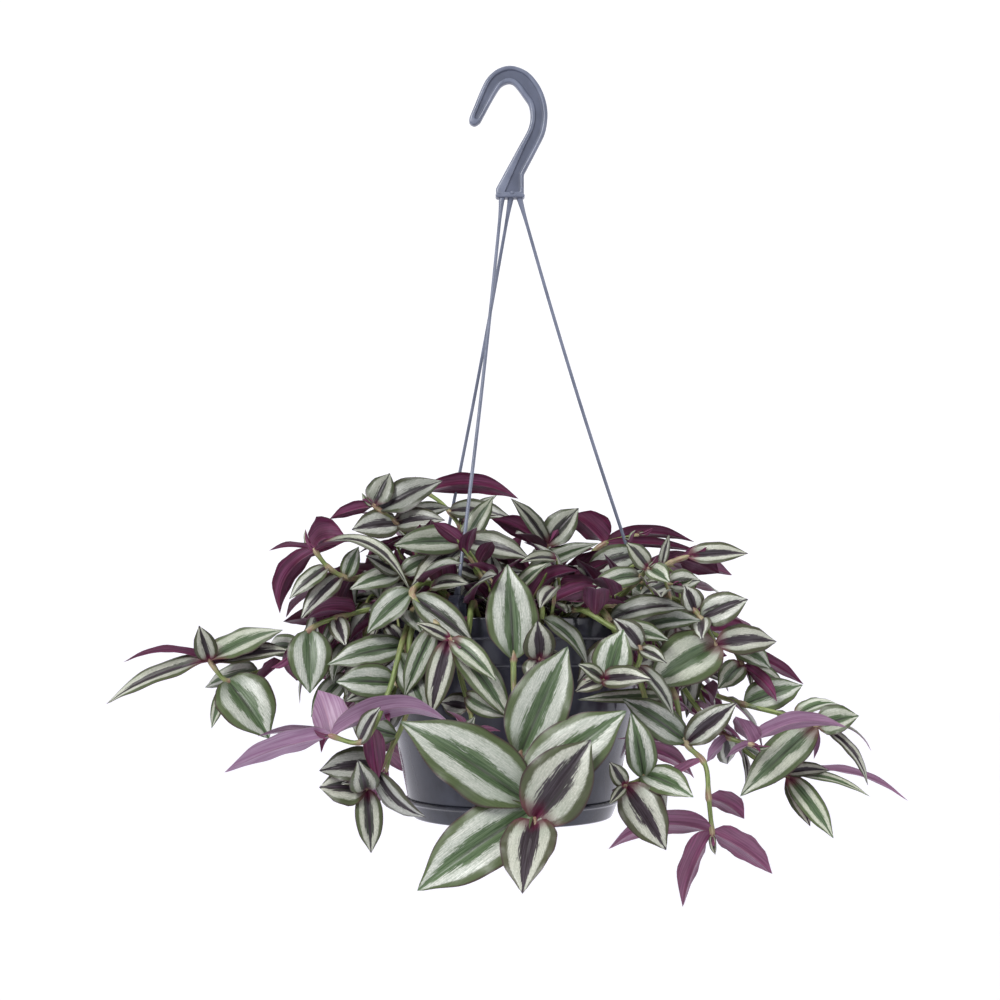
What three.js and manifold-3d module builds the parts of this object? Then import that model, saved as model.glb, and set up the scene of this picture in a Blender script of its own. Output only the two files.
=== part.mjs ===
// A hanging pot of tradescantia: a plastic pot with a clip-on saucer and a one-piece
// hook with three strands, filled with soil, and the leafy stems that spill over its rim.
// Millimetres, +Z up, the viewer's side is -Y. The origin is the seat of the hook, where
// it hangs on its rail.
import * as THREE from 'three';
import { mergeVertices } from 'three/addons/utils/BufferGeometryUtils.js';
import Module from 'manifold-3d';

// ---- driving dimensions ----
const gap = 0.3;                  // between pieces that touch
const potSides = 30;
const rimTop = -299;
const rimRadius = 75;             // outside of the lip
const lipHeight = 10.4;
const lipStep = 2.3;              // how far the lip stands out from the wall
const shoulderDrop = 24.2;        // rim to the small step in the wall
const wall = 1.6;
const footRadius = 55.7;          // wall where it meets the saucer
const saucerTop = -393.2;
const saucerBottom = -403.3;
const saucerFloor = 1.5;
const soilTop = rimTop - 15;
const hookThickness = 4.5;
const footBottom = -66;           // underside of the hook's foot, where the strands leave
const strandRadius = 0.95;
const clipAngles = [248, 8, 128]; // where the strands' clips sit on the rim
const stemRadius = 1.5;
const stemStep = 18;              // length of a stem's straight pieces
const holeDepth = 10;
const bladeThickness = 1.2;       // at the midrib, from which it thins to the margins
const bladeGap = 0.35;            // least space between a blade and another shoot

const wasm = await Module();
wasm.setup();

// ---- solids ----
function solid(geometry) {
  const bare = geometry.clone();
  bare.deleteAttribute('normal');
  bare.deleteAttribute('uv');
  const merged = mergeVertices(bare, 1e-4);
  const mesh = new wasm.Mesh({
    numProp: 3,
    vertProperties: new Float32Array(merged.attributes.position.array),
    triVerts: new Uint32Array(merged.index.array),
  });
  return new wasm.Manifold(mesh);
}

function geometryOf(manifold) {
  const mesh = manifold.getMesh();
  const geometry = new THREE.BufferGeometry();
  geometry.setAttribute('position', new THREE.BufferAttribute(mesh.vertProperties, 3));
  geometry.setIndex(new THREE.BufferAttribute(mesh.triVerts, 1));
  geometry.computeVertexNormals();
  return geometry;
}

const plant = new THREE.Group();

function addPiece(name, manifold, colour, roughness, metalness = 0) {
  const material = new THREE.MeshStandardMaterial({ color: colour, roughness, metalness });
  const mesh = new THREE.Mesh(geometryOf(manifold), material);
  mesh.name = name;
  plant.add(mesh);
}

// a profile of [radius, height] points turned about the pot's axis
function turned(profile, segments) {
  const points = profile.map(([radius, height]) => new THREE.Vector2(radius, height));
  return solid(new THREE.LatheGeometry(points, segments).rotateX(Math.PI / 2));
}

function tube(curve, radius, sides, steps) {
  const section = new THREE.Shape();
  for (let i = 0; i < sides; i++) {
    const angle = (2 * Math.PI * i) / sides;
    const x = radius * Math.cos(angle);
    const y = radius * Math.sin(angle);
    if (i === 0) section.moveTo(x, y);
    else section.lineTo(x, y);
  }
  section.closePath();
  const settings = { steps, extrudePath: curve, bevelEnabled: false, curveSegments: 1 };
  return solid(new THREE.ExtrudeGeometry(section, settings));
}

// a cone or cylinder from one point to another
function spigot(from, to, radiusFrom, radiusTo, sides) {
  const along = new THREE.Vector3().subVectors(to, from);
  const cone = new THREE.CylinderGeometry(radiusTo, radiusFrom, along.length(), sides);
  const up = new THREE.Vector3(0, 1, 0);
  const turn = new THREE.Quaternion().setFromUnitVectors(up, along.clone().normalize());
  cone.applyQuaternion(turn);
  const middle = new THREE.Vector3().addVectors(from, to).multiplyScalar(0.5);
  cone.translate(middle.x, middle.y, middle.z);
  return solid(cone);
}

// a flat outline in the X-Z plane, made thick along Y
function plate(shape, thickness, curveSegments = 6) {
  const settings = { depth: thickness, bevelEnabled: false, curveSegments };
  const flat = new THREE.ExtrudeGeometry(shape, settings);
  flat.rotateX(Math.PI / 2);
  flat.translate(0, thickness / 2, 0);
  return flat;
}

const point2 = ([x, y]) => new THREE.Vector2(x, y);
const point3 = ([x, y, z]) => new THREE.Vector3(x, y, z);

// ---- hanger: hook, strands and clips, one moulding ----
const radians = (degrees) => (degrees * Math.PI) / 180;

function hookBody() {
  const outline = new THREE.Shape();
  outline.moveTo(-9, footBottom);
  outline.lineTo(7.1, footBottom);
  outline.lineTo(6.8, -52.5);
  outline.lineTo(15, -36.4);
  outline.splineThru([[18.8, -28], [20.1, -18], [18.6, -8.4], [14.6, 0.2], [8.6, 6.8], [0.4, 10],
    [-7, 8.6], [-13.2, 3.5], [-16.8, -3]].map(point2));
  outline.lineTo(-23.6, -20);
  outline.splineThru([[-23.4, -23], [-20.7, -24.4], [-17.6, -22.6]].map(point2));
  outline.lineTo(-9, -6.4);
  outline.splineThru([[-5.6, -1.4], [-2.6, 0], [0, 0], [2.4, -2], [6.4, -7.6], [9.7, -12.8],
    [10.5, -19.5], [9.2, -26.6]].map(point2));
  outline.lineTo(-8.6, -61);
  outline.closePath();
  return solid(plate(outline, hookThickness, 1));
}

// the sunk panel on each face, which leaves a raised border round the hook
function hookPanel() {
  const panel = new THREE.Shape();
  panel.moveTo(-3.8, -61.5);
  panel.lineTo(4.6, -61.5);
  panel.lineTo(4.6, -52);
  panel.lineTo(12.8, -36);
  panel.splineThru([[16.4, -27.6], [17.6, -18.4], [16.2, -9.4], [12.6, -1.4], [7.4, 4.8],
    [0.2, 7.6], [-6.2, 6.2], [-11.4, 1.8], [-14.8, -4.8]].map(point2));
  panel.lineTo(-20.6, -19);
  panel.lineTo(-18.6, -19.6);
  panel.lineTo(-10.6, -5);
  panel.splineThru([[-7, 0.4], [-3.2, 2.6], [0.8, 2.4], [4.6, -0.4], [8.6, -6], [12.2, -11.6],
    [13.2, -19], [11.8, -27]].map(point2));
  panel.closePath();
  return plate(panel, 1.4, 1);
}

// the path of a strand, which bows a little towards the pot's axis
function strandPath(rootX, angle) {
  const end = new THREE.Vector3(73.7 * Math.cos(angle), 73.7 * Math.sin(angle), rimTop + 10.6);
  const start = new THREE.Vector3(rootX, 0, footBottom + 1);
  const bow = 2;
  const points = [0, 0.06, 0.3, 0.55, 0.8, 1].map((along) => {
    const point = new THREE.Vector3().lerpVectors(start, end, along);
    const sag = bow * Math.sin(Math.PI * along);
    point.x -= sag * Math.cos(angle);
    point.y -= sag * Math.sin(angle);
    return point;
  });
  return new THREE.CatmullRomCurve3(points);
}

// an inverted U that straddles the rim, with a barb under the lip
function clip(angle) {
  const width = 6;
  const top = rimTop + 11;
  const barb = rimTop - lipHeight - gap;
  const section = new THREE.Shape();
  section.moveTo(68.2, rimTop - 8);
  section.lineTo(69.6, rimTop - 8);
  section.lineTo(69.6, top - 5);
  section.splineThru([[71, top - 2.2], [73.7, top - 1.4], [76.4, top - 2.2], [77.8, top - 5]]
    .map(point2));
  section.lineTo(77.8, barb - 1.2);
  section.lineTo(75.4, barb);
  section.lineTo(73.5, barb);
  section.lineTo(73.5, barb - 1.2);
  section.lineTo(77, barb - 3);
  section.lineTo(79.2, barb - 3);
  section.lineTo(79.2, top - 5);
  section.splineThru([[77.5, top - 1.2], [73.7, top], [69.9, top - 1.2], [68.2, top - 5]]
    .map(point2));
  section.closePath();
  return solid(plate(section, width, 1).rotateZ(angle));
}

function hanger() {
  const rootX = [-5.4, 4.1, -0.4];
  const foot = new THREE.BoxGeometry(16.1, 5.4, 5);
  foot.translate(-0.95, 0, footBottom + 2.5);
  const gateNub = new THREE.CylinderGeometry(1.3, 1.5, 3.4, 8).rotateX(Math.PI / 2);
  gateNub.translate(0.2, -1.6, footBottom + 2.6);
  const parts = [hookBody(), solid(foot), solid(gateNub)];
  clipAngles.forEach((degrees, i) => {
    const angle = radians(degrees);
    const path = strandPath(rootX[i], angle);
    parts.push(tube(path, strandRadius, 6, 9));
    parts.push(spigot(path.getPointAt(0), path.getPointAt(0.06), 1.5, 1, 6));
    parts.push(spigot(path.getPointAt(0.92), path.getPointAt(1), 0.96, 1.9, 6));
    parts.push(clip(angle));
  });
  const moulding = wasm.Manifold.union(parts);
  const front = solid(hookPanel().translate(0, -hookThickness / 2, 0));
  const back = solid(hookPanel().translate(0, hookThickness / 2, 0));
  return moulding.subtract(front).subtract(back).simplify(0.05);
}

// ---- pot, saucer and soil ----
const shoulderTop = rimTop - shoulderDrop;
const underLip = rimTop - lipHeight;
const potBase = saucerBottom + saucerFloor + 0.4;
const potFloor = potBase + 3.3;
const skirtTop = footRadius - 1.5;

function pot() {
  const body = turned([
    [0, potBase + 1.5], [49, potBase + 1.5], [50, potBase], [51.3, potBase],
    [skirtTop, saucerTop + gap], [footRadius, saucerTop + gap], [69.6, shoulderTop],
    [70.3, shoulderTop + 0.6], [rimRadius - lipStep, underLip], [rimRadius, underLip],
    [rimRadius, rimTop - 0.6], [rimRadius - 0.6, rimTop], [rimRadius - 2.6, rimTop],
    [70.3 - wall, shoulderTop], [skirtTop - wall, saucerTop + 2], [49.5, potFloor],
    [0, potFloor],
  ], potSides);
  const holes = [];
  for (let i = 0; i < 6; i++) {
    const drill = new THREE.CylinderGeometry(4.5, 4.5, 12, 8).rotateX(Math.PI / 2);
    const angle = radians(60 * i);
    drill.translate(33 * Math.cos(angle), 33 * Math.sin(angle), potBase + 2);
    holes.push(solid(drill));
  }
  return body.subtract(wasm.Manifold.union(holes));
}

function saucer() {
  const floor = saucerBottom + saucerFloor;
  const dish = turned([
    [0, saucerBottom], [52.2, saucerBottom], [53, saucerBottom + 0.6],
    [56.3, saucerTop - 0.9], [56, saucerTop], [54.6, saucerTop], [51.8, floor], [0, floor],
  ], potSides);
  // the small tab by which the saucer is pulled off
  const tab = new THREE.BoxGeometry(3, 5, 1.6);
  tab.translate(57, 0, saucerTop - 1.2);
  tab.rotateZ(radians(-8));
  return dish.add(solid(tab));
}

const roots = [];                 // where each stem stands in the soil

function soil() {
  const fill = turned([
    [0, potFloor + gap], [49, potFloor + gap], [skirtTop - wall - gap - 0.2, saucerTop + 2.4],
    [70.3 - wall - gap - 0.2, shoulderTop], [69.4, soilTop - 2], [64, soilTop],
    [0, soilTop],
  ], potSides);
  const holes = roots.map(([x, y]) => {
    const dibble = new THREE.CylinderGeometry(2.3, 2.3, holeDepth + 2, 4).rotateX(Math.PI / 2);
    dibble.translate(x, y, soilTop - holeDepth / 2 + 1);
    return solid(dibble);
  });
  return fill.subtract(wasm.Manifold.union(holes));
}

// ---- leafy stems ----
// The shoots of the front, each with its place in the soil, the points that its stem
// passes, and its leaves. A leaf is [place along the stem from 0 to 1, X, Y and Z of its
// tip, width, turn, arch]. Turn is how far the blade is rolled about its own length, in
// degrees: at 0 its upper face looks to the front, at 90 up, and at 180 to the back.
// Arch is how high it curves, as a part of its length.
const shoots = [
  { name: 'front', root: [-2, -54],
    stem: [[-2, -66, -297], [-1, -77, -295], [0, -88, -306], [0, -98, -333], [3, -106, -364],
      [6, -116, -382], [10, -126, -393]],
    leaves: [
      [0.47, -3, -90, -274, 25, 12, 0.06],
      [0.76, 25, -106, -313, 29, 12, 0.06],
      [0.91, -52, -113, -347, 33, 25, 0.1],
      [0.87, 51, -111, -342, 28, 25, 0.1],
      [0.97, 34, -129, -354, 30, 12, 0.1],
      [0.94, -43, -128, -420, 29, 25, 0.1],
      [0.98, 3, -132, -422, 25, 12, 0.12],
      [1, 18, -130, -389, 5, 25, 0.1],
    ] },
  { name: 'front_left', root: [-30, -38],
    stem: [[-35, -52, -288], [-43, -68, -282], [-49, -82, -288], [-40, -88, -299], [-29, -98, -311]],
    leaves: [
      [0.71, -19, -89, -312, 16, 25, 0.12],
      [0.67, -71, -78, -307, 17, 25, 0.15],
      [0.99, -46, -103, -302, 7, 25, 0.1],
      [1, -8, -108, -329, 12, 25, 0.2],
      [0.98, -39, -93, -346, 13, 12, 0.12],
      [0.88, -52, -87, -337, 12, 12, 0.15],
      [1, -1, -94, -348, 17, 25, 0.1],
    ] },
  { name: 'left_high', root: [-38, -16],
    stem: [[-49, -20, -289], [-66, -30, -274], [-83, -44, -279], [-93, -50, -274],
      [-101, -52, -264]],
    leaves: [
      [0.99, -117, -54, -297, 15, 130, 0.55],
      [1, -124, -48, -265, 8, 105, 0.2],
      [1, -85, -36, -259, 24, 130, 0.6],
      [1, -50, -70, -287, 13, 60, 0.52],
      [0.77, -94, -48, -315, 24, 130, 0.12],
      [0.81, -106, -58, -300, 13, 25, 0.15],
      [0.89, -112, -58, -290, 11, 25, 0.15],
      [0.79, -78, -51, -263, 10, 12, 0.1],
    ] },
  { name: 'left_drop', root: [-46, -26],
    stem: [[-57, -35, -297], [-65, -41, -294], [-84, -54, -298], [-99, -64, -304],
      [-111, -58, -318]],
    leaves: [
      [0.84, -99, -72, -336, 21, 12, 0.1],
      [0.67, -95, -62, -316, 7, 12, 0.1],
      [0.69, -82, -65, -313, 10, 12, 0.1],
    ] },
  { name: 'far_left', root: [-50, -12],
    stem: [[-61, -20, -297], [-72, -27, -294], [-94, -34, -305], [-113, -36, -319],
      [-134, -42, -328], [-144, -46, -331], [-154, -50, -319]],
    leaves: [
      [1, -203, -54, -342, 15, 50, 0.15],
      [1, -192, -60, -321, 10, 105, 0.25],
      [1, -156, -56, -303, 11, 12, 0.05],
      [1, -118, -36, -305, 23, 50, 0.12],
      [0.97, -112, -45, -316, 15, 50, 0.12],
      [0.89, -121, -56, -359, 29, 25, 0.15],
      [0.89, -153, -40, -355, 7, 12, 0.1],
    ] },
  { name: 'left_purple', root: [-36, -46],
    stem: [[-44, -54, -297], [-48, -62, -294], [-53, -76, -308], [-60, -88, -336], [-72, -88, -358],
      [-88, -88, -355]],
    leaves: [
      [1, -136, -92, -372, 16, 130, 0.14],
      [1, -123, -80, -356, 7, 130, 0.2],
      [1, -94, -80, -334, 21, 150, 0.1],
      [0.99, -27, -100, -350, 18, 125, 0.42],
      [0.88, -62, -80, -341, 12, 25, 0.1],
    ] },
  { name: 'left_low', root: [-26, -48],
    stem: [[-36, -57, -297], [-43, -66, -293], [-50, -76, -308], [-50, -76, -339], [-61, -70, -366],
      [-73, -66, -384]],
    leaves: [
      [1, -94, -72, -381, 19, 25, 0.1],
      [0.89, -94, -73, -373, 18, 25, 0.15],
      [0.93, -83, -78, -379, 7, 25, 0.1],
      [0.99, -73, -74, -366, 14, 12, 0.2],
      [0.91, -42, -74, -395, 18, -45, 0.28],
      [1, -69, -72, -413, 13, 12, 0.25],
      [1, -78, -76, -389, 7, 25, 0.1],
    ] },
  { name: 'crown_left', root: [-30, 2],
    stem: [[-34, 0, -289], [-44, -8, -268], [-60, -18, -250], [-74, -24, -239]],
    leaves: [
      [0.99, -65, -20, -222, 15, 12, 0.05],
      [0.95, -37, -20, -226, 20, 25, 0.1],
      [1, -96, -26, -247, 9, 130, 0.15],
      [0.83, -84, -30, -253, 17, 25, 0.15],
      [0.83, -35, -30, -248, 14, 25, 0.25],
      [0.86, -33, -9, -239, 11, 25, 0.15],
    ] },
  { name: 'crown_front', root: [-16, -14],
    stem: [[-18, -20, -289], [-22, -38, -274], [-25, -48, -260]],
    leaves: [
      [1, -60, -58, -263, 17, 25, 0.15],
      [1, 9, -60, -270, 16, 25, 0.2],
      [1, -10, -48, -237, 11, 12, 0.08],
      [0.97, -51, -61, -284, 16, 25, 0.08],
      [0.76, -23, -45, -262, 13, 12, 0.1],
    ] },
  { name: 'crown_back', root: [-14, 22],
    stem: [[-16, 24, -286], [-24, 26, -256], [-38, 28, -235], [-50, 30, -226]],
    leaves: [
      [0.99, 4, 28, -231, 15, 130, 0.34],
      [0.82, 1, 10, -244, 14, 25, 0.2],
      [0.73, -8, 17, -230, 9, 25, 0.1],
    ] },
  { name: 'crown_mid', root: [3, -8],
    stem: [[2, -10, -292], [9, -18, -273], [19, -22, -260]],
    leaves: [
      [0.99, -11, -26, -247, 15, 130, 0.15],
      [1, 35, -24, -241, 17, 25, 0.1],
      [1, -1, -16, -242, 10, 25, 0.15],
      [0.74, -11, -28, -259, 10, 130, 0.1],
      [0.74, 45, -32, -260, 11, 25, 0.12],
    ] },
  { name: 'crown_right', root: [16, 16],
    stem: [[22, 20, -288], [38, 22, -270], [50, 18, -258], [71, 19, -252]],
    leaves: [
      [0.8, 33, 12, -241, 22, 130, 0.1],
      [0.8, 102, 20, -256, 12, 130, 0.3],
      [0.77, 105, -6, -265, 9, 130, 0.18],
      [1, 67, 33, -248, 11, 25, 0.1],
    ] },
  { name: 'right_high', root: [34, -8],
    stem: [[44, -10, -292], [68, -14, -279], [85, -16, -269], [94, -18, -266]],
    leaves: [
      [1, 124, -24, -265, 13, 25, 0.1],
      [0.95, 110, -30, -275, 19, 150, 0.12],
      [0.89, 121, -10, -280, 14, 140, 0.1],
      [0.82, 84, -12, -254, 5, 12, 0.1],
    ] },
  { name: 'right_front', root: [36, -30],
    stem: [[44, -40, -299], [56, -54, -287], [68, -62, -274]],
    leaves: [
      [1, 56, -66, -262, 11, 25, 0.1],
      [1, 77, -70, -282, 12, 25, 0.1],
      [0.9, 35, -75, -287, 12, 25, 0.3],
      [0.85, 43, -66, -277, 8, 25, 0.15],
    ] },
  { name: 'right_rim', root: [22, -54],
    stem: [[27, -62, -297], [32, -70, -295], [46, -80, -303], [60, -88, -314], [56, -96, -325],
      [40, -100, -329]],
    leaves: [
      [0.71, 47, -94, -300, 13, 25, 0.2],
      [0.96, 51, -105, -305, 20, 12, 0.1],
      [1, 63, -110, -328, 12, 25, 0.2],
      [1, 29, -110, -321, 8, 25, 0.1],
      [1, 28, -106, -334, 9, 25, 0.1],
      [0.72, 72, -97, -321, 8, 25, 0.2],
    ] },
  { name: 'right_mid', root: [44, -26],
    stem: [[54, -33, -297], [75, -44, -288], [91, -52, -295], [101, -62, -314]],
    leaves: [
      [0.83, 117, -61, -290, 17, 25, 0.15],
      [0.6, 103, -55, -313, 9, 25, 0.12],
      [0.99, 132, -55, -311, 17, 25, 0.22],
      [1, 64, -82, -333, 28, 25, 0.1],
      [0.77, 86, -56, -283, 13, 12, 0.1],
      [0.83, 92, -63, -310, 10, 25, 0.1],
      [1, 81, -68, -335, 13, 25, 0.1],
    ] },
  { name: 'right_mid2', root: [52, -14],
    stem: [[62, -18, -297], [74, -22, -294], [93, -26, -302], [112, -30, -312], [119, -36, -325]],
    leaves: [
      [0.86, 133, -34, -325, 13, 25, 0.3],
      [0.89, 150, -32, -333, 10, 130, 0.15],
      [0.97, 104, -43, -335, 13, 25, 0.1],
      [1, 141, -40, -335, 11, 25, 0.15],
      [1, 129, -48, -340, 9, 130, 0.15],
    ] },
  { name: 'far_right', root: [50, -22],
    stem: [[60, -27, -297], [70, -32, -295], [80, -34, -306], [97, -36, -334], [115, -44, -342],
      [138, -56, -348], [152, -62, -353]],
    leaves: [
      [0.74, 148, -49, -333, 18, 25, 0.1],
      [0.91, 165, -51, -343, 12, 60, 0.3],
      [1, 169, -68, -347, 16, 25, 0.1],
      [0.98, 109, -75, -385, 18, 25, 0.1],
      [1, 177, -64, -365, 6, 70, 0.4],
      [1, 173, -66, -381, 9, 50, 0.3],
      [0.97, 149, -56, -369, 5, 130, 0.2],
    ] },
  { name: 'right_purple', root: [42, -36],
    stem: [[51, -42, -297], [60, -48, -295], [71, -55, -308], [88, -64, -340], [102, -76, -356],
      [115, -84, -360]],
    leaves: [
      [1, 157, -92, -351, 13, 130, 0.35],
      [1, 105, -90, -346, 15, 130, 0.1],
      [0.99, 100, -89, -366, 7, 130, 0.2],
      [0.9, 92, -83, -368, 9, 130, 0.1],
      [0.88, 106, -84, -381, 12, 12, 0.1],
    ] },
  { name: 'far_right_low', root: [54, -6],
    stem: [[64, -10, -297], [76, -13, -295], [87, -18, -308], [102, -30, -349], [120, -44, -368],
      [139, -50, -379]],
    leaves: [
      [1, 197, -50, -390, 10, 110, 0.28],
      [1, 176, -58, -387, 8, 60, 0.2],
      [1, 157, -60, -407, 12, 12, 0.2],
      [1, 147, -54, -402, 11, 12, 0.05],
      [0.97, 158, -41, -375, 8, 25, 0.3],
    ] },
  { name: 'right_low', root: [36, -44],
    stem: [[44, -50, -297], [52, -57, -295], [61, -63, -308], [78, -70, -335], [83, -76, -359],
      [91, -84, -369], [92, -88, -385], [93, -92, -402]],
    leaves: [
      [1, 78, -96, -433, 19, 130, 0.12],
      [0.99, 121, -90, -419, 18, 130, 0.12],
      [0.99, 44, -94, -407, 20, 130, 0.34],
      [0.57, 31, -77, -339, 8, 25, 0.08],
      [0.7, 52, -84, -338, 17, 25, 0.1],
      [0.72, 50, -89, -358, 6, 130, 0.1],
      [0.78, 51, -105, -389, 9, 130, 0.08],
      [0.71, 107, -82, -340, 15, 25, 0.1],
      [0.89, 110, -80, -395, 16, 130, 0.2],
    ] },
  { name: 'right_low2', root: [30, -50],
    stem: [[37, -58, -297], [43, -65, -295], [51, -71, -308], [63, -75, -335], [64, -80, -350],
      [62, -90, -373], [50, -100, -378]],
    leaves: [
      [0.9, 55, -95, -344, 16, 12, 0.1],
      [0.89, 86, -97, -389, 16, 25, 0.15],
      [1, 69, -106, -405, 21, 12, 0.1],
      [0.9, 73, -85, -391, 11, 25, 0.15],
      [0.99, 44, -104, -366, 8, 12, 0.1],
      [1, 43, -110, -384, 5, 25, 0.05],
    ] },
  { name: 'left_mid', root: [-42, -34],
    stem: [[-50, -47, -297], [-50, -56, -294], [-52, -63, -303], [-54, -72, -318], [-59, -82, -341]],
    leaves: [
      [0.89, -85, -84, -330, 17, 20, 0.16],
      [0.69, -90, -79, -322, 16, 20, 0.2],
      [0.89, -54, -74, -314, 7, 110, 0.2],
      [0.88, -82, -70, -340, 12, 25, 0.1],
      [0.76, -46, -67, -339, 11, 12, 0.15],
      [0.72, -65, -73, -301, 10, 25, 0.1],
    ] },
  { name: 'front_deep', root: [-14, -52],
    stem: [[-18, -62, -297], [-20, -74, -292], [-22, -86, -308], [-26, -84, -322], [-20, -88, -350],
      [-26, -96, -362]],
    leaves: [
      [0.93, -32, -95, -343, 8, 125, 0.3],
      [0.92, -18, -97, -345, 7, 20, 0.1],
      [0.92, -6, -89, -353, 7, 130, 0.2],
      [0.81, -35, -80, -340, 12, 25, 0.1],
      [0.81, -3, -80, -336, 12, 25, 0.1],
    ] },
  { name: 'mid_front', root: [14, -34],
    stem: [[22, -42, -298], [27, -58, -288], [29, -68, -291]],
    leaves: [
      [0.56, 16, -50, -293, 14, 25, 0.12],
      [0.53, 39, -47, -289, 15, 25, 0.1],
      [0.66, 10, -55, -285, 10, 25, 0.1],
      [0.71, 23, -50, -278, 9, 12, 0.1],
    ] },
  { name: 'mid_low', root: [8, -56],
    stem: [[12, -66, -297], [14, -77, -295], [13, -86, -306], [12, -92, -320]],
    leaves: [
      [0.99, 11, -96, -301, 15, 12, 0.12],
      [0.99, 22, -100, -316, 7, 25, 0.2],
      [1, 10, -98, -331, 14, 12, 0.12],
    ] },
  { name: 'mid_right', root: [24, 4],
    stem: [[40, 0, -292], [56, -8, -277], [66, -12, -268], [63, -18, -260]],
    leaves: [
      [0.92, 37, -26, -275, 17, 20, 0.1],
      [0.67, 42, -21, -279, 12, 25, 0.12],
      [0.54, 24, -24, -292, 16, 25, 0.2],
      [0.82, 82, -18, -285, 14, 25, 0.12],
    ] },
  { name: 'mid_round', root: [40, -14],
    stem: [[52, -24, -294], [70, -36, -283], [82, -44, -282]],
    leaves: [
      [0.76, 62, -56, -281, 20, 10, 0.1],
      [0.96, 64, -48, -288, 13, 25, 0.12],
      [0.96, 96, -44, -280, 14, 25, 0.15],
      [0.92, 80, -55, -310, 11, 12, 0.15],
    ] },
  { name: 'crown_low', root: [-24, -20],
    stem: [[-32, -26, -296], [-46, -36, -286], [-56, -46, -278], [-62, -52, -272]],
    leaves: [
      [0.89, -82, -57, -285, 13, 25, 0.15],
      [0.85, -31, -49, -281, 9, 130, 0.15],
      [0.77, -68, -55, -297, 12, 25, 0.15],
      [0.88, -40, -46, -268, 11, 25, 0.15],
      [0.9, -74, -52, -268, 10, 25, 0.1],
    ] },
  { name: 'crown_low2', root: [-6, -28],
    stem: [[-8, -32, -294], [-14, -44, -284], [-20, -54, -274]],
    leaves: [
      [0.88, -16, -53, -261, 15, 10, 0.1],
      [0.87, -27, -61, -291, 12, 25, 0.1],
      [0.9, -34, -56, -273, 10, 25, 0.15],
      [0.85, 6, -52, -276, 11, 25, 0.15],
      [0.7, 4, -50, -293, 10, 130, 0.15],
    ] },
];

// The rest grows by rule, in three tiers round the back: how many shoots, the heading of
// the first and the step to the next in degrees, how far out they root, the leaves on each,
// the way their upper faces look [outward, up], and the stem's path [radius, height].
const tiers = [
  { name: 'hanging', count: 8, from: 48, step: 13.5, root: 50, leaves: 7, look: [1, 0.8],
    path: [[62, -297], [76, -294], [88, -306], [96, -336], [101, -364], [108, -384]] },
  { name: 'spreading', count: 7, from: 28, step: 20, root: 40, leaves: 6, look: [0.5, 1],
    path: [[54, -290], [76, -280], [98, -279], [118, -288], [131, -300]] },
  { name: 'crown', count: 4, from: 30, step: 45, root: 26, leaves: 5, look: [0.4, 1],
    path: [[30, -288], [42, -272], [58, -263]] },
];

// evenly spread numbers from 0 to 1 that are the same on every run
let seed = 48611;
function random() {
  seed = (seed * 48271) % 2147483647;
  return seed / 2147483647;
}

const away = [0, -5, 5, -10, 10, -15, 15, -20, 20];   // ways to bend a leaf clear
const aside = [0, 5, -5];
const shrink = [1, 0.8];
const ways = away.length * aside.length * shrink.length;

function stemCurve(root, points) {
  const [x, y] = root;
  const start = [[x, y, soilTop - holeDepth + 0.4], [x, y, soilTop + 1], [x, y, soilTop + 6]];
  return new THREE.CatmullRomCurve3([...start, ...points].map(point3));
}

// the direction that a leaf's upper face looks in, from its turn about its own length
function lookOf(from, to, turn) {
  const along = new THREE.Vector3().subVectors(to, from).normalize();
  const front = new THREE.Vector3(0, -1, 0);
  front.addScaledVector(along, -front.dot(along)).normalize();
  const up = new THREE.Vector3().crossVectors(front, along);
  if (up.z < -1e-6) up.negate();
  front.multiplyScalar(Math.cos(radians(turn)));
  return front.addScaledVector(up, Math.sin(radians(turn)));
}

// A blade from its root, sunk past the middle of the stem, to its tip: two or three
// cross-sections between the two points, each with two margins and a midrib.
const broadSections = [0.1, 0.4, 0.74];
const slimSections = [0.14, 0.56];
const broadWidth = 15;
const rootDepth = 0.9;
const halfWidthAt = (u) => Math.pow(Math.sin(Math.PI * Math.pow(u, 0.75)), 0.8);

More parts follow.
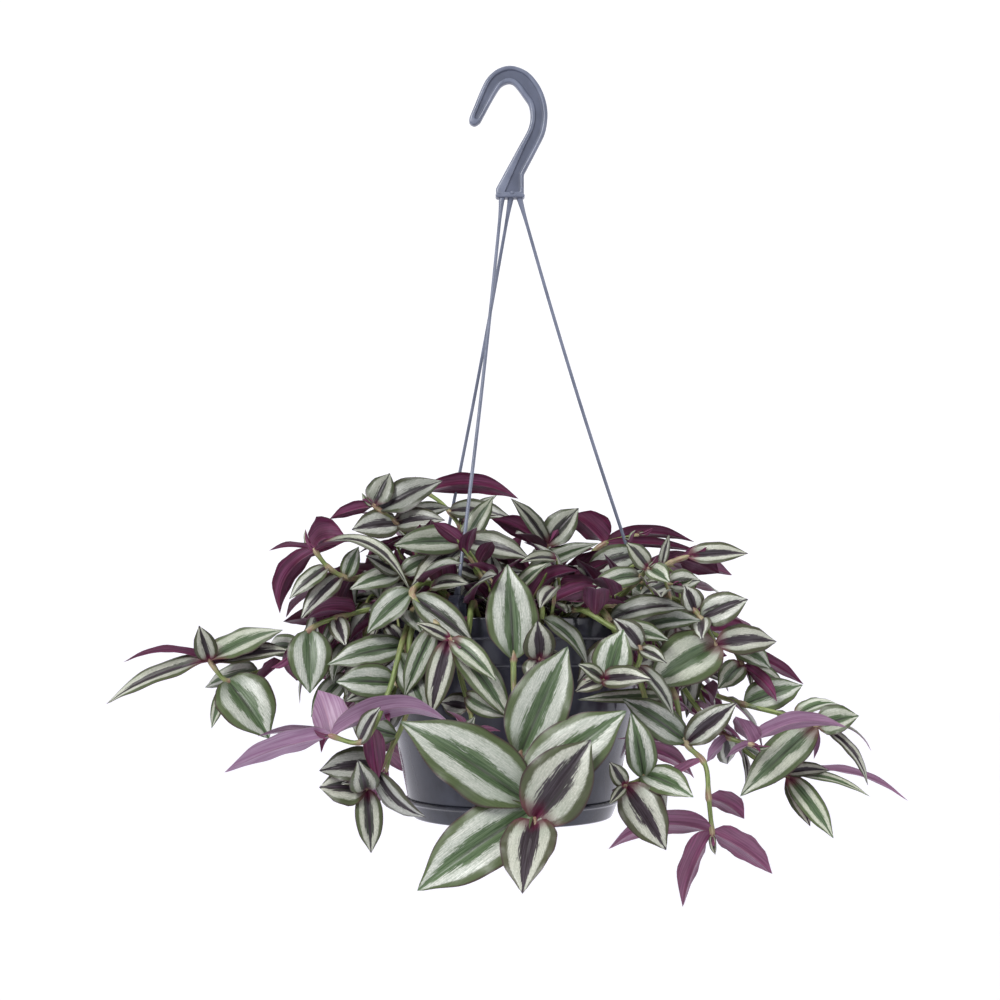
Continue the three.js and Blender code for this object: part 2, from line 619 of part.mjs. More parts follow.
function blade(leaf, tip, grow, outerOnly) {
  const base = leaf.base;
  const chord = new THREE.Vector3().subVectors(tip, base);
  const length = chord.length();
  const along = chord.clone().normalize();
  const look = leaf.look.clone();
  look.addScaledVector(along, -look.dot(along)).normalize();
  const side = new THREE.Vector3().crossVectors(look, along);
  const middle = base.clone().addScaledVector(chord, 0.5).addScaledVector(look, leaf.arch * length);
  const midrib = new THREE.QuadraticBezierCurve3(base, middle, tip);
  const sections = leaf.ruled || leaf.width < broadWidth ? slimSections : broadSections;
  const places = [];
  sections.forEach((u) => {
    const centre = midrib.getPoint(u);
    const tangent = midrib.getTangent(u);
    const across = side.clone().applyAxisAngle(tangent, leaf.twist * u);
    const up = new THREE.Vector3().crossVectors(tangent, across);
    const halfWidth = (leaf.width / 2) * halfWidthAt(u);
    const reach = halfWidth * Math.cos(leaf.fold) + grow;
    const rise = halfWidth * Math.sin(leaf.fold);
    const half = bladeThickness / 2 + grow;
    const left = centre.clone().addScaledVector(across, reach).addScaledVector(up, rise);
    const right = centre.clone().addScaledVector(across, -reach).addScaledVector(up, rise);
    const top = centre.clone().addScaledVector(up, half);
    const bottom = centre.clone().addScaledVector(up, -half);
    places.push(left, top, right, bottom);
  });
  const index = [];
  for (let i = 0; i < sections.length - 1; i++) {
    const [l, t, r, b] = [4 * i, 4 * i + 1, 4 * i + 2, 4 * i + 3];
    const [l2, t2, r2, b2] = [l + 4, t + 4, r + 4, b + 4];
    index.push(l, t, t2, l, t2, l2);
    index.push(t, r, t2, r, r2, t2);
    index.push(r, b, b2, r, b2, r2);
    index.push(b, l, b2, l, l2, b2);
  }
  const point = places.length;
  places.push(tip.clone().addScaledVector(along, grow));
  const [l, t, r, b] = [point - 4, point - 3, point - 2, point - 1];
  index.push(l, t, point, t, r, point, r, b, point, b, l, point);
  if (outerOnly) {
    index.push(0, 2, 1, 0, 3, 2);
  } else {
    places.push(base.clone().addScaledVector(along, -rootDepth));
    const root = places.length - 1;
    index.push(1, 0, root, 2, 1, root, 3, 2, root, 0, 3, root);
  }
  const geometry = new THREE.BufferGeometry().setFromPoints(places);
  geometry.setIndex(index);
  return solid(geometry);
}

function crosses(one, box, others) {
  return others.some((other) => {
    if (!box.intersectsBox(other.box)) return false;
    const shared = one.intersect(other.body);
    const hit = !shared.isEmpty();
    shared.delete();
    return hit;
  });
}

function boxOf(body) {
  const { min, max } = body.boundingBox();
  return new THREE.Box3(point3(min), point3(max));
}

const standing = [];              // everything that a new blade has to stay clear of

function place(body, owner, outer) {
  standing.push({ body, box: boxOf(body), owner, outer });
}

const stemSteps = (curve) => Math.ceil(curve.getLength() / stemStep);

// a point on the stem's straight-sided middle line
function stemPoint(curve, along) {
  const steps = stemSteps(curve);
  const place = Math.min(along, 0.985) * steps;
  const before = Math.floor(place);
  const from = curve.getPointAt(before / steps);
  return from.lerp(curve.getPointAt((before + 1) / steps), place - before);
}

function makeStem(name, root, points) {
  const curve = stemCurve(root, points);
  const body = tube(curve, stemRadius, 4, stemSteps(curve));
  return { name, root, curve, body, leaves: [] };
}

// a shoot by rule leans to the first side on which its stem is clear
function ruledStem(tier, i) {
  const angle = tier.from + tier.step * i + 6 * (random() - 0.5);
  const stretch = 0.9 + 0.22 * random();
  const drift = 14 * (random() - 0.5);
  const lift = 10 * (random() - 0.5);
  for (const lean of [0, 5, -5, 10, -10, 15, -15, 20, -20]) {
    const at = (radius, turn) => {
      const heading = radians(angle + lean + turn);
      return [radius * Math.cos(heading), radius * Math.sin(heading)];
    };
    const points = tier.path.map(([radius, height], k) => {
      const part = k / (tier.path.length - 1);
      const far = radius > 80 || tier.name === 'crown';
      const reach = far ? radius * (1 + (stretch - 1) * part) : radius;
      return [...at(reach, drift * part), height + (far ? lift * part : 0)];
    });
    const name = `shoot_${tier.name}_${i + 1}`;
    const stem = makeStem(name, at(tier.root, 0), points);
    const wide = tube(stem.curve, stemRadius + bladeGap, 4, stemSteps(stem.curve));
    if (!crosses(wide, boxOf(wide), standing)) return stem;
  }
  return null;
}

function ruledLeaves(tier, stem) {
  for (let j = 0; j < tier.leaves; j++) {
    const along = 0.42 + (0.58 * j) / (tier.leaves - 1);
    const length = (50 - 16 * along) * (0.85 + 0.3 * random());
    const swing = random() - 0.5;
    const droop = random();
    const base = stemPoint(stem.curve, along);
    const forward = stem.curve.getTangentAt(Math.min(along, 1));
    const outward = new THREE.Vector3(base.x, base.y, 0).normalize();
    const look = outward.clone().multiplyScalar(tier.look[0]).setZ(tier.look[1]).normalize();
    const side = new THREE.Vector3().crossVectors(look, forward).normalize();
    const hand = j % 2 === 0 ? 1 : -1;
    const last = j === tier.leaves - 1;
    const heading = forward.clone().multiplyScalar(last ? 1 : 0.45 + 0.5 * swing);
    heading.addScaledVector(side, last ? 0.3 * swing : hand);
    heading.addScaledVector(look, 0.35 - 0.5 * droop).normalize();
    stem.leaves.push({
      base, look, side,
      tip: base.clone().addScaledVector(heading, length),
      sway: look,
      width: length * 0.44,
      arch: 0.08 + 0.2 * droop,
      ruled: true,
    });
  }
}

function shapeLeaf(leaf) {
  leaf.fold = radians(8 + 16 * random());
  leaf.twist = radians(30 * (random() - 0.5));
}

function bentTip(leaf, way) {
  const turn = Math.floor(way / away.length);
  const tip = leaf.base.clone();
  tip.lerp(leaf.tip, shrink[Math.floor(turn / aside.length)]);
  tip.addScaledVector(leaf.sway, away[way % away.length]);
  return tip.addScaledVector(leaf.side, aside[turn % aside.length]);
}

// a leaf bends to the first place where it crosses nothing, and is left out if none is free
function growLeaf(shoot, leaf) {
  for (let way = 0; way < ways; way++) {
    const tip = bentTip(leaf, way);
    const wide = blade(leaf, tip, bladeGap, false);
    const wideOuter = blade(leaf, tip, bladeGap, true);
    const box = boxOf(wide);
    const others = standing.filter((each) => each.owner !== shoot.name);
    const sisters = standing.filter((each) => each.owner === shoot.name && each.outer)
      .map((each) => each.outer);
    const clear = !crosses(wide, box, others) && !crosses(wideOuter, box, sisters);
    wide.delete();
    wideOuter.delete();
    if (clear) {
      const outer = blade(leaf, tip, 0, true);
      const body = blade(leaf, tip, 0, false);
      place(body, shoot.name, { body: outer, box: boxOf(outer) });
      shoot.kept.push(body);
      return;
    }
  }
}

function growPlant() {
  const grown = [];
  for (const { name, root, stem, leaves } of shoots) {
    const shoot = makeStem(`shoot_${name}`, root, stem);
    for (const [along, x, y, z, width, turn, arch] of leaves) {
      const base = stemPoint(shoot.curve, along);
      const tip = new THREE.Vector3(x, y, z);
      const look = lookOf(base, tip, turn);
      const sway = new THREE.Vector3(0, 1, 0);
      const side = new THREE.Vector3(0, 0, 1);
      shoot.leaves.push({ base, look, side, tip, sway, width, arch });
    }
    place(shoot.body, shoot.name);
    grown.push(shoot);
  }
  for (const tier of tiers) {
    for (let i = 0; i < tier.count; i++) {
      const stem = ruledStem(tier, i);
      if (stem === null) continue;
      ruledLeaves(tier, stem);
      place(stem.body, stem.name);
      grown.push(stem);
    }
  }
  for (const shoot of grown) {
    shoot.kept = [];
    for (const leaf of shoot.leaves) {
      shapeLeaf(leaf);
      growLeaf(shoot, leaf);
    }
  }
  return grown;
}

// ---- assembly ----
const hangerBody = hanger();
const potBody = pot();
const saucerBody = saucer();
place(hangerBody, 'hanger');
place(potBody, 'pot');
place(saucerBody, 'saucer');
const leafGreen = 0x6f8d63;

addPiece('hanger', hangerBody, 0x6e7280, 0.42);
addPiece('pot', potBody, 0x4a4a52, 0.38);
addPiece('saucer', saucerBody, 0x4a4a52, 0.38);

for (const shoot of growPlant()) {
  roots.push(shoot.root);
  const fused = wasm.Manifold.union([shoot.body, ...shoot.kept]).simplify(0.02);
  addPiece(shoot.name, fused, leafGreen, 0.5);
}
addPiece('soil', soil(), 0x3a2c22, 0.95);

export default plant;
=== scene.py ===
import math

import bmesh
import bpy
import numpy as np
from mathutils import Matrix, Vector
from mathutils.bvhtree import BVHTree
from mathutils.geometry import tessellate_polygon
from mathutils.kdtree import KDTree


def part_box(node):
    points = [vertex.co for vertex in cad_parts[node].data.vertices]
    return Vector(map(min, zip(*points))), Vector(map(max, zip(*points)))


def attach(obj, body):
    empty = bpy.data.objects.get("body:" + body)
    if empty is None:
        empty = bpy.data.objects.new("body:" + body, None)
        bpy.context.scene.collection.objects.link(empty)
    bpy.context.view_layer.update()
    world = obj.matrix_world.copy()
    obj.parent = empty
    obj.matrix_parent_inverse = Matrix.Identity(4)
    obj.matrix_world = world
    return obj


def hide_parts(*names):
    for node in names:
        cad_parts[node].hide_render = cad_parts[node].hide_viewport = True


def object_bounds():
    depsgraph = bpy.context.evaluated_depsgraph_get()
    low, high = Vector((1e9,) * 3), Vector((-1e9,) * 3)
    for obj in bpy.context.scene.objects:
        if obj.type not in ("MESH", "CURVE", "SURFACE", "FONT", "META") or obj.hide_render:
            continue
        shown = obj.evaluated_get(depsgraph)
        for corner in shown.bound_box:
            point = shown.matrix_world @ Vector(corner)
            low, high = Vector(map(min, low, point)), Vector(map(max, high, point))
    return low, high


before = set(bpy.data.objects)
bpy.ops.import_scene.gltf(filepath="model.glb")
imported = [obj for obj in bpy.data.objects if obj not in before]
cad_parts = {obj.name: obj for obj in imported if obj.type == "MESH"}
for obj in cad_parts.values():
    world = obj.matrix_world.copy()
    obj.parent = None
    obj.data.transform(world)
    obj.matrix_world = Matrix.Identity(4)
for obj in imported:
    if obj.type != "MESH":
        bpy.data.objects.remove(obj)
cad_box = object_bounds()

# ---- hanger ----
# The hanger is one moulding in slate-grey polypropylene: a flat hook with a sunk panel on each
# face, a foot, and three thin strands. It hangs by the hook, and each strand ends in a clip
# that straddles the rim of the pot, with a barb under the lip.
MM = 0.001
hook_half = 2.25                      # half of the hook's thickness
hook_edge = 1.1
panel_floor = 1.15                    # from the middle of the hook to the panel's floor
# The panel's finish is a darker grey than the rims', as painted shade in the recess.
panel_foot = 3                        # bands round the panel's floor that have its finish
foot_bottom = -66
foot_half = 2.9
foot_height = 2.4
strand_radius = 0.95
strand_bow = 2                        # how far each strand bows towards the pot's axis
root_flare, clip_flare = 0.9, 0.95
rim_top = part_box("pot")[1].z / MM
clip_circle = 73.7
clip_top = rim_top + 11
clip_barb = rim_top - 10.7
clip_half = 3
grain_scale = 1500                    # how fine the grain of moulded plastic is
flow_scales = (260, 260, 14)          # and its flow lines, which run up and down
box_margin = 2e-5                     # metres that every piece keeps from the part's box
strands = [(-5.4, 248), (4.1, 8), (-0.4, 128)]    # where each leaves the foot, and its heading


class Amount:
    """What a node gives out. Numbers that change over a surface can be used in sums."""

    def __init__(self, finish, socket):
        self.finish = finish
        self.socket = socket

    def work(self, operation, *numbers):
        return self.finish.node("Math", {"operation": operation}, dict(enumerate(numbers)))

    def __add__(self, other):
        return self.work("ADD", self, other)

    def __sub__(self, other):
        return self.work("SUBTRACT", self, other)

    def __rsub__(self, other):
        return self.work("SUBTRACT", other, self)

    def __mul__(self, other):
        return self.work("MULTIPLY", self, other)

    def __abs__(self):
        return self.work("ABSOLUTE", self)

    __radd__ = __add__
    __rmul__ = __mul__


class Finish:
    """A material, whose nodes are added one at a time."""

    def __init__(self, name):
        self.material = bpy.data.materials.new(name)
        self.material.use_nodes = True
        self.tree = self.material.node_tree
        self.tree.nodes.clear()

    def node(self, kind, settings, inputs, output=0):
        made = self.tree.nodes.new("ShaderNode" + kind)
        for key, value in settings.items():
            setattr(made, key, value)
        for key, value in inputs.items():
            if isinstance(value, Amount):
                self.tree.links.new(value.socket, made.inputs[key])
            else:
                made.inputs[key].default_value = value
        return Amount(self, made.outputs[output]) if made.outputs else None

    def place(self):
        return self.node("TexCoord", {}, {}, "Object")

    def mark(self, name):
        """The three numbers that a mesh keeps under this name at each point."""
        return self.node("Attribute", {"attribute_name": name}, {}, "Vector")

    def split(self, name):
        both = self.mark(name)
        return [self.node("SeparateXYZ", {}, {0: both}, axis) for axis in "XYZ"]

    def stretch(self, vector, sizes):
        return self.node("VectorMath", {"operation": "MULTIPLY"}, {0: vector, 1: sizes})

    def noise(self, vector, scale, detail=2, roughness=0.5):
        inputs = {"Vector": vector, "Scale": scale, "Detail": detail, "Roughness": roughness}
        return self.node("TexNoise", {}, inputs)

    def rise(self, amount, low, high):
        """0 where the amount is below low, 1 above high, and smooth between."""
        inputs = {"Value": amount, "From Min": low, "From Max": high}
        return self.node("MapRange", {"interpolation_type": "SMOOTHSTEP"}, inputs)

    def mix(self, mask, one, other):
        """The first colour where the mask is 0, and the other where it is 1."""
        return self.node("Mix", {"data_type": "RGBA"}, {0: mask, 6: one, 7: other}, 2)

    def relief(self, height, depth):
        """Normals for a surface that rises by depth, in millimetres, where height is 1."""
        return self.node("Bump", {}, {"Strength": 1.0, "Distance": depth * MM,
                                      "Height": height})

    def surface(self, inputs):
        shader = self.node("BsdfPrincipled", {}, inputs)
        self.node("OutputMaterial", {}, {"Surface": shader})
        return self.material


def colour(code):
    """A colour from its six hexadecimal digits."""
    parts = [int(code[i:i + 2], 16) / 255 for i in (0, 2, 4)]
    linear = [p / 12.92 if p <= 0.04045 else ((p + 0.055) / 1.055) ** 2.4 for p in parts]
    return (*linear, 1)


class Form:
    """The mesh of one piece, gathered from closed shells."""

    def __init__(self):
        self.points, self.faces, self.finishes, self.marks = [], [], [], {}
        self.count = 0

    def add(self, points, faces, finishes=0, **marks):
        points = np.asarray(points, float)
        self.points.append(points)
        self.faces += [tuple(self.count + i for i in face) for face in faces]
        self.finishes += [finishes] * len(faces) if isinstance(finishes, int) else finishes
        for name, values in marks.items():
            self.marks.setdefault(name, []).append(np.asarray(values, float))
        self.count += len(points)

    def build(self, name, materials, sharp=40, outward=True):
        """The piece as an object. It stays inside the box of the part."""
        low, high = (np.array(corner) for corner in cad_box)
        points = np.concatenate(self.points) * MM
        points = np.clip(points, low + box_margin, high - box_margin)
        mesh = bpy.data.meshes.new(name)
        mesh.from_pydata(points.tolist(), [], self.faces)
        for material in materials:
            mesh.materials.append(material)
        mesh.polygons.foreach_set("material_index", self.finishes)
        for mark, values in self.marks.items():
            attribute = mesh.attributes.new(mark, "FLOAT_VECTOR", "POINT")
            attribute.data.foreach_set("vector", np.concatenate(values).ravel())
        if outward:
            shell = bmesh.new()
            shell.from_mesh(mesh)
            bmesh.ops.recalc_face_normals(shell, faces=shell.faces)
            shell.to_mesh(mesh)
            shell.free()
        mesh.shade_smooth()
        mesh.set_sharp_from_angle(angle=math.radians(sharp))
        piece = bpy.data.objects.new(name, mesh)
        bpy.context.scene.collection.objects.link(piece)
        return piece


def fit(piece, slot, *nodes):
    """Fixes a piece to the part, in the place of the solids that it stands for."""
    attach(piece, "root")
    if nodes:
        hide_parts(*nodes)


def curve(points, steps=7):
    """A smooth line through points of a flat outline."""
    points = np.array(points, float)
    last = len(points) - 1
    line = []
    for i in range(last):
        before, one, two, after = (points[min(max(i + k, 0), last)] for k in (-1, 0, 1, 2))
        start, end = (two - before) / 2, (after - one) / 2
        for k in range(steps):
            t = k / steps
            line.append((2 * t**3 - 3 * t**2 + 1) * one + (t**3 - 2 * t**2 + t) * start
                        + (3 * t**2 - 2 * t**3) * two + (t**3 - t**2) * end)
    return [*line, points[-1]]


def evenly(outline, spacing):
    """A closed outline again, with its points evenly spaced."""
    closed = np.array([*outline, outline[0]], float)
    steps = np.linalg.norm(np.diff(closed, axis=0), axis=1)
    places = np.concatenate([[0], np.cumsum(steps)])
    count = round(places[-1] / spacing)
    at = np.arange(count) * places[-1] / count
    return np.stack([np.interp(at, places, closed[:, k]) for k in (0, 1)], axis=1)


def inset(outline, distance):
    """A closed outline moved inwards."""
    ahead = np.roll(outline, -1, axis=0) - np.roll(outline, 1, axis=0)
    ahead /= np.linalg.norm(ahead, axis=1, keepdims=True)
    x, y = outline.T
    area = np.sum(x * np.roll(y, -1) - y * np.roll(x, -1))
    inward = np.stack([-ahead[:, 1], ahead[:, 0]], axis=1) * math.copysign(1, area)
    return outline + distance * inward


def bands(rings, size):
    """Faces between rings of points that follow each other."""
    faces = []
    for i in range(rings - 1):
        for j in range(size):
            k = (j + 1) % size
            faces.append((i * size + j, i * size + k, (i + 1) * size + k, (i + 1) * size + j))
    return faces


def plate(outline, half, edge, spacing, panel=None):
    """A flat moulding across Y with rounded edges, and a sunk panel on both faces, which has
    a finish of its own: rougher, and darker grey as painted shade in the recess."""
    def ring(loop, inward, y):
        moved = inset(loop, inward)
        return np.stack([moved[:, 0], np.full(len(loop), y), moved[:, 1]], axis=1)

    loop = evenly(outline, spacing)
    slopes = [math.radians(a) for a in (90, 60, 30, 0)]
    front = [(edge * (1 - math.cos(a)), -half + edge * (1 - math.sin(a))) for a in slopes]
    back = [(inward, -y) for inward, y in reversed(front)]
    points = np.concatenate([ring(loop, inward, y) for inward, y in front + back])
    faces = bands(len(front + back), len(loop))
    size = len(loop)
    if panel is None:
        faces += [tuple(range(size)), tuple(range(len(points) - size, len(points)))]
        return points, faces, 0
    finishes = [0] * len(faces)
    inner = evenly(panel, spacing)
    sunk = panel_foot * len(inner) + 1
    for sign, first in ((-1, 0), (1, len(points) - size)):
        steps = [(-0.8, half), (-0.35, half - 0.1), (-0.1, half - 0.35), (0, half - 0.7),
                 (0.15, panel_floor + 0.12), (0.5, panel_floor), (0.65, panel_floor)]
        rings = [ring(inner, inward, sign * y) for inward, y in steps]
        start = len(points)
        border = [points[first:first + size], rings[0]]
        numbers = [*range(first, first + size), *range(start, start + len(inner))]
        fill = tessellate_polygon([[Vector(p) for p in each] for each in border])
        faces += [tuple(numbers[i] for i in triangle) for triangle in fill]
        faces += [tuple(start + i for i in face) for face in bands(len(rings), len(inner))]
        points = np.concatenate([points, *rings])
        faces.append(tuple(range(len(points) - len(inner), len(points))))
        finishes += [0] * (len(faces) - len(finishes) - sunk) + [1] * sunk
    return points, faces, finishes


def swung(points, out):
    """Points of a piece again, with X and Y turned so that X points out."""
    return (points[:, :1] * out + points[:, 1:2] * (-out[1], out[0], 0)
            + points[:, 2:] * (0, 0, 1))


def heading_out(degrees):
    """The level direction at a heading."""
    angle = math.radians(degrees)
    return np.array([math.cos(angle), math.sin(angle), 0])


def sweep(line, radii, sides):
    """A closed round rod along a line of points, with its radius at each."""
    line = np.array(line, float)
    ahead = np.gradient(line, axis=0)
    ahead /= np.linalg.norm(ahead, axis=1, keepdims=True)
    across = np.zeros_like(line)
    start = np.cross(ahead[0], (0.3, 1, 0.2))
    for i, direction in enumerate(ahead):
        start = start - direction * np.dot(start, direction)
        start /= np.linalg.norm(start)
        across[i] = start
    up = np.cross(ahead, across)
    angles = np.arange(sides) * 2 * math.pi / sides
    out = np.cos(angles)[:, None] * across[:, None] + np.sin(angles)[:, None] * up[:, None]
    points = (line[:, None] + np.array(radii)[:, None, None] * out).reshape(-1, 3)
    ends = [tuple(reversed(range(sides))), tuple(range(len(points) - sides, len(points)))]
    return points, bands(len(line), sides) + ends


class Course:
    """A smooth course through points, on which places from 0 to 1 go by length."""

    def __init__(self, points):
        points = np.array(points, float)
        first, last = 2 * points[0] - points[1], 2 * points[-1] - points[-2]
        self.points = np.array([first, *points, last])
        self.grid = np.linspace(0, 1, 201)
        steps = np.diff(self.spot(self.grid), axis=0)
        self.lengths = np.concatenate([[0], np.cumsum(np.linalg.norm(steps, axis=1))])
        self.length = self.lengths[-1]

    def spot(self, t):
        spans = len(self.points) - 3
        at = np.asarray(t, float) * spans
        i = np.minimum(np.floor(at), spans - 1).astype(int)
        w = (at - i)[..., None]
        p0, p1, p2, p3 = (self.points[i + k] for k in range(4))
        a, b, c = (np.linalg.norm(q - p, axis=-1, keepdims=True) ** 0.5
                   for p, q in ((p0, p1), (p1, p2), (p2, p3)))
        start = ((p1 - p0) / a - (p2 - p0) / (a + b) + (p2 - p1) / b) * b
        end = ((p2 - p1) / b - (p3 - p1) / (b + c) + (p3 - p2) / c) * b
        bend = -3 * p1 + 3 * p2 - 2 * start - end
        return p1 + start * w + bend * w**2 + (2 * p1 - 2 * p2 + start + end) * w**3

    def turn(self, place):
        return np.interp(np.asarray(place) * self.length, self.lengths, self.grid)

    def at(self, place):
        return self.spot(self.turn(place))

    def heading(self, place):
        t = self.turn(place)
        ahead = self.spot(min(t + 1e-4, 1)) - self.spot(max(t - 1e-4, 0))
        return ahead / np.linalg.norm(ahead)


def plastic(name, dark, light, rough, sheen_scale):
    """Moulded plastic: faint clouds of colour, a fine grain, and flow lines down it."""
    finish = Finish(name)
    at = finish.place()
    cloud = finish.noise(at, sheen_scale, 3)
    flow = finish.noise(finish.stretch(at, flow_scales), 1, 3)
    grain = finish.noise(at, grain_scale, 2)
    base = finish.mix(finish.rise(cloud * 0.85 + flow * 0.15, 0.35, 0.65), colour(dark),
                      colour(light))
    finish.surface({
        "Base Color": base,
        "Roughness": rough + 0.12 * (cloud - 0.5) + 0.03 * (flow - 0.5),
        "Normal": finish.relief(0.7 * grain + 0.12 * flow, 0.03),
    })
    return finish.material


def hanger():
    outline = [(-8.6, foot_bottom + 0.6), (6.8, foot_bottom + 0.6), (6.8, -52.5), (13, -40.4)]
    outline += curve([(15.2, -36), (18.8, -28), (20.1, -18), (18.6, -8.4), (14.6, 0.2),
                      (8.6, 6.8), (0.4, 10), (-7, 8.6), (-13.2, 3.5), (-16.8, -3),
                      (-20.4, -12)])
    outline += curve([(-23.6, -20), (-23.5, -22.9), (-20.7, -24.4), (-17.6, -22.6)])
    outline += curve([(-12.6, -13), (-9, -6.4), (-6, -1.9), (-2.8, 0), (0, 0), (2.4, -2),
                      (6.4, -7.6), (9.6, -12.8), (10.5, -19.5), (9.2, -26.6), (4.7, -35.3)])
    outline.append((-8.8, -60.8))
    panel = [(-3.8, -62.6), (4.6, -62.6), (4.6, -52), (9.8, -42)]
    panel += curve([(13, -36), (16.4, -27.6), (17.6, -18.4), (16.2, -9.4), (12.6, -1.4),
                    (7.4, 4.8), (0.2, 7.6), (-6.2, 6.2), (-11.4, 1.8), (-14.8, -4.8)])
    panel += curve([(-20.4, -18.6), (-20.6, -20.4), (-19.2, -20.9), (-18.2, -19.4)], 4)
    panel += curve([(-10.6, -5), (-7, 0.4), (-3.2, 2.6), (0.8, 2.4), (4.6, -0.4), (8.6, -6),
                    (12.2, -11.6), (13.2, -19), (11.8, -27), (7.4, -36.4)])
    form = Form()
    form.add(*plate(outline, hook_half, hook_edge, 1, panel))
    corners = [(-8.2, 0), (6.4, 0), (7.2, 0.8), (7.2, 1.6), (6.4, foot_height),
               (-8.2, foot_height), (-9, 1.6), (-9, 0.8)]
    foot = [(x, foot_bottom + up) for x, up in corners]
    form.add(*plate(foot, foot_half, 0.7, 0.5))
    # the nub left by the moulding gate
    nub = [(0.2, y, foot_bottom + 2.6) for y in (-1, -2.4, -3, -3.25, -3.3)]
    form.add(*sweep(nub, [1.2, 1.15, 1, 0.7, 0.15], 16))
    section = [(68.2, rim_top - 8), (69.6, rim_top - 8)]
    section += curve([(69.6, clip_top - 5), (71, clip_top - 2.2), (73.7, clip_top - 1.4),
                      (76.4, clip_top - 2.2), (77.8, clip_top - 5)])
    section += [(77.8, clip_barb - 1.2), (75.4, clip_barb), (73.5, clip_barb),
                (73.5, clip_barb - 1.2), (77, clip_barb - 3), (79.2, clip_barb - 3)]
    section += curve([(79.2, clip_top - 5), (77.5, clip_top - 1.2), (73.7, clip_top),
                      (69.9, clip_top - 1.2), (68.2, clip_top - 5)])
    for root, degrees in strands:
        out = heading_out(degrees)
        start = np.array([root, 0, foot_bottom + 1])
        end = out * clip_circle + (0, 0, clip_top - 0.4)
        course = Course([start + (end - start) * t - out * strand_bow * math.sin(math.pi * t)
                         for t in (0, 0.06, 0.3, 0.55, 0.8, 1)])
        along = np.concatenate([np.linspace(0, 0.08, 9), np.linspace(0.1, 0.9, 33),
                                np.linspace(0.92, 1, 9)])
        flare = root_flare * np.clip(1 - along / 0.08, 0, 1) ** 2
        flare += clip_flare * np.clip((along - 0.94) / 0.06, 0, 1) ** 2
        form.add(*sweep(course.at(along), strand_radius + flare, 12))
        points, faces, _ = plate(section, clip_half, 0.3, 0.7)
        form.add(swung(points, out), faces)
    return form.build("hanger_moulding", [hanger_grey, panel_painted_shade], 50)


hanger_grey = plastic("hanger_grey", "666c7d", "787e90", 0.28, 70)
# painted shade: the sunk panels are a darker grey than the rims, for the shade in their recess,
# and rougher
panel_painted_shade = plastic("panel_painted_shade", "4e5465", "5a6073", 0.4, 70)
fit(hanger(), "hanger_plastic", "hanger")

# ---- pot ----
# The pot is thin anthracite polypropylene, injection moulded: a rolled lip, a small step in
# the wall below it, and a foot that snaps into the saucer. Its floor has six drain holes.
pot_segments = 128
wall = 1.6
rim_radius = 75
wall_radius = 70.3                    # at the shoulder
seat_radius = 54.2                    # where the saucer is pressed on
saucer_bottom, saucer_top = (corner.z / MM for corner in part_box("saucer"))
shoulder = rim_top - 24.2
under_lip = rim_top - 10.4
pot_base = saucer_bottom + 1.9
pot_floor = pot_base + 3.3
foot_radius = 55.7
drain_holes, drain_circle, drain_radius = 6, 33, 4.5


def soften(profile, radius):
    """A profile with each of its corners rounded."""
    profile = [np.array(p, float) for p in profile]
    line = [profile[0]]
    for before, corner, after in zip(profile, profile[1:], profile[2:]):
        sides = [side - corner for side in (before, after)]
        lengths = [np.linalg.norm(side) for side in sides]
        start, end = (corner + side * min(radius, 0.45 * length) / length
                      for side, length in zip(sides, lengths))
        for t in (0, 0.33, 0.67, 1):
            line.append(start * (1 - t) ** 2 + corner * 2 * t * (1 - t) + end * t * t)
    return [*line, profile[-1]]


def turned(profile, segments):
    """A closed body from a profile of radius and height that begins and ends on the axis."""
    profile = np.array(profile, float)
    angles = np.arange(segments) * 2 * math.pi / segments
    out = np.stack([np.cos(angles), np.sin(angles)], axis=1)
    middle = profile[1:-1]
    points = [[*(out[j] * radius), height] for radius, height in middle for j in range(segments)]
    faces = bands(len(middle), segments)
    for ring, (_, height) in ((0, profile[0]), (len(middle) - 1, profile[-1])):
        points.append([0, 0, height])
        start = ring * segments
        faces += [(len(points) - 1, start + j, start + (j + 1) % segments)
                  for j in range(segments)]
    return points, faces


def cut(piece, cutters):
    """Takes the cutters out of the piece."""
    for cutter in cutters:
        hole = piece.modifiers.new("hole", "BOOLEAN")
        hole.operation = "DIFFERENCE"
        hole.object = cutter
    shape = piece.evaluated_get(bpy.context.evaluated_depsgraph_get())
    whole = bpy.data.meshes.new_from_object(shape)
    piece.modifiers.clear()
    piece.data = whole
    for cutter in cutters:
        bpy.data.objects.remove(cutter)


def pot():
    profile = soften([
        (0, pot_base + 1.5), (49, pot_base + 1.5), (50, pot_base), (51.3, pot_base),
        (seat_radius, saucer_top + 0.05), (foot_radius - 0.2, saucer_top + 0.05),
        (foot_radius, saucer_top + 0.25), (wall_radius - 0.7, shoulder),
        (wall_radius, shoulder + 0.6), (rim_radius - 2.3, under_lip), (rim_radius, under_lip),
        (rim_radius, rim_top), (rim_radius - 2.6, rim_top), (wall_radius - wall, shoulder),
        (seat_radius - wall, saucer_top + 2), (49.5, pot_floor), (0, pot_floor)], 0.8)
    form = Form()
    form.add(*turned(profile, pot_segments))
    body = form.build("pot_body", [anthracite], 35)
    drills = []
    for i in range(drain_holes):
        centre = drain_circle * heading_out(360 / drain_holes * i)
        ends = [centre + (0, 0, pot_base - 3), centre + (0, 0, pot_base + 8)]
        drill = Form()
        drill.add(*sweep(ends, [drain_radius] * 2, 32))
        drills.append(drill.build("drill", [anthracite]))
    cut(body, drills)
    return body


anthracite = plastic("anthracite", "2c2e35", "3d404b", 0.14, 40)
fit(pot(), "pot_plastic", "pot")


# ---- saucer ----
# The saucer is the same plastic, a shallow dish pressed over the foot of the pot. Its thin
# edge stands round the foot, with a small tab by which it is pulled off.
tab_half = 2.5
tab_heading = -8


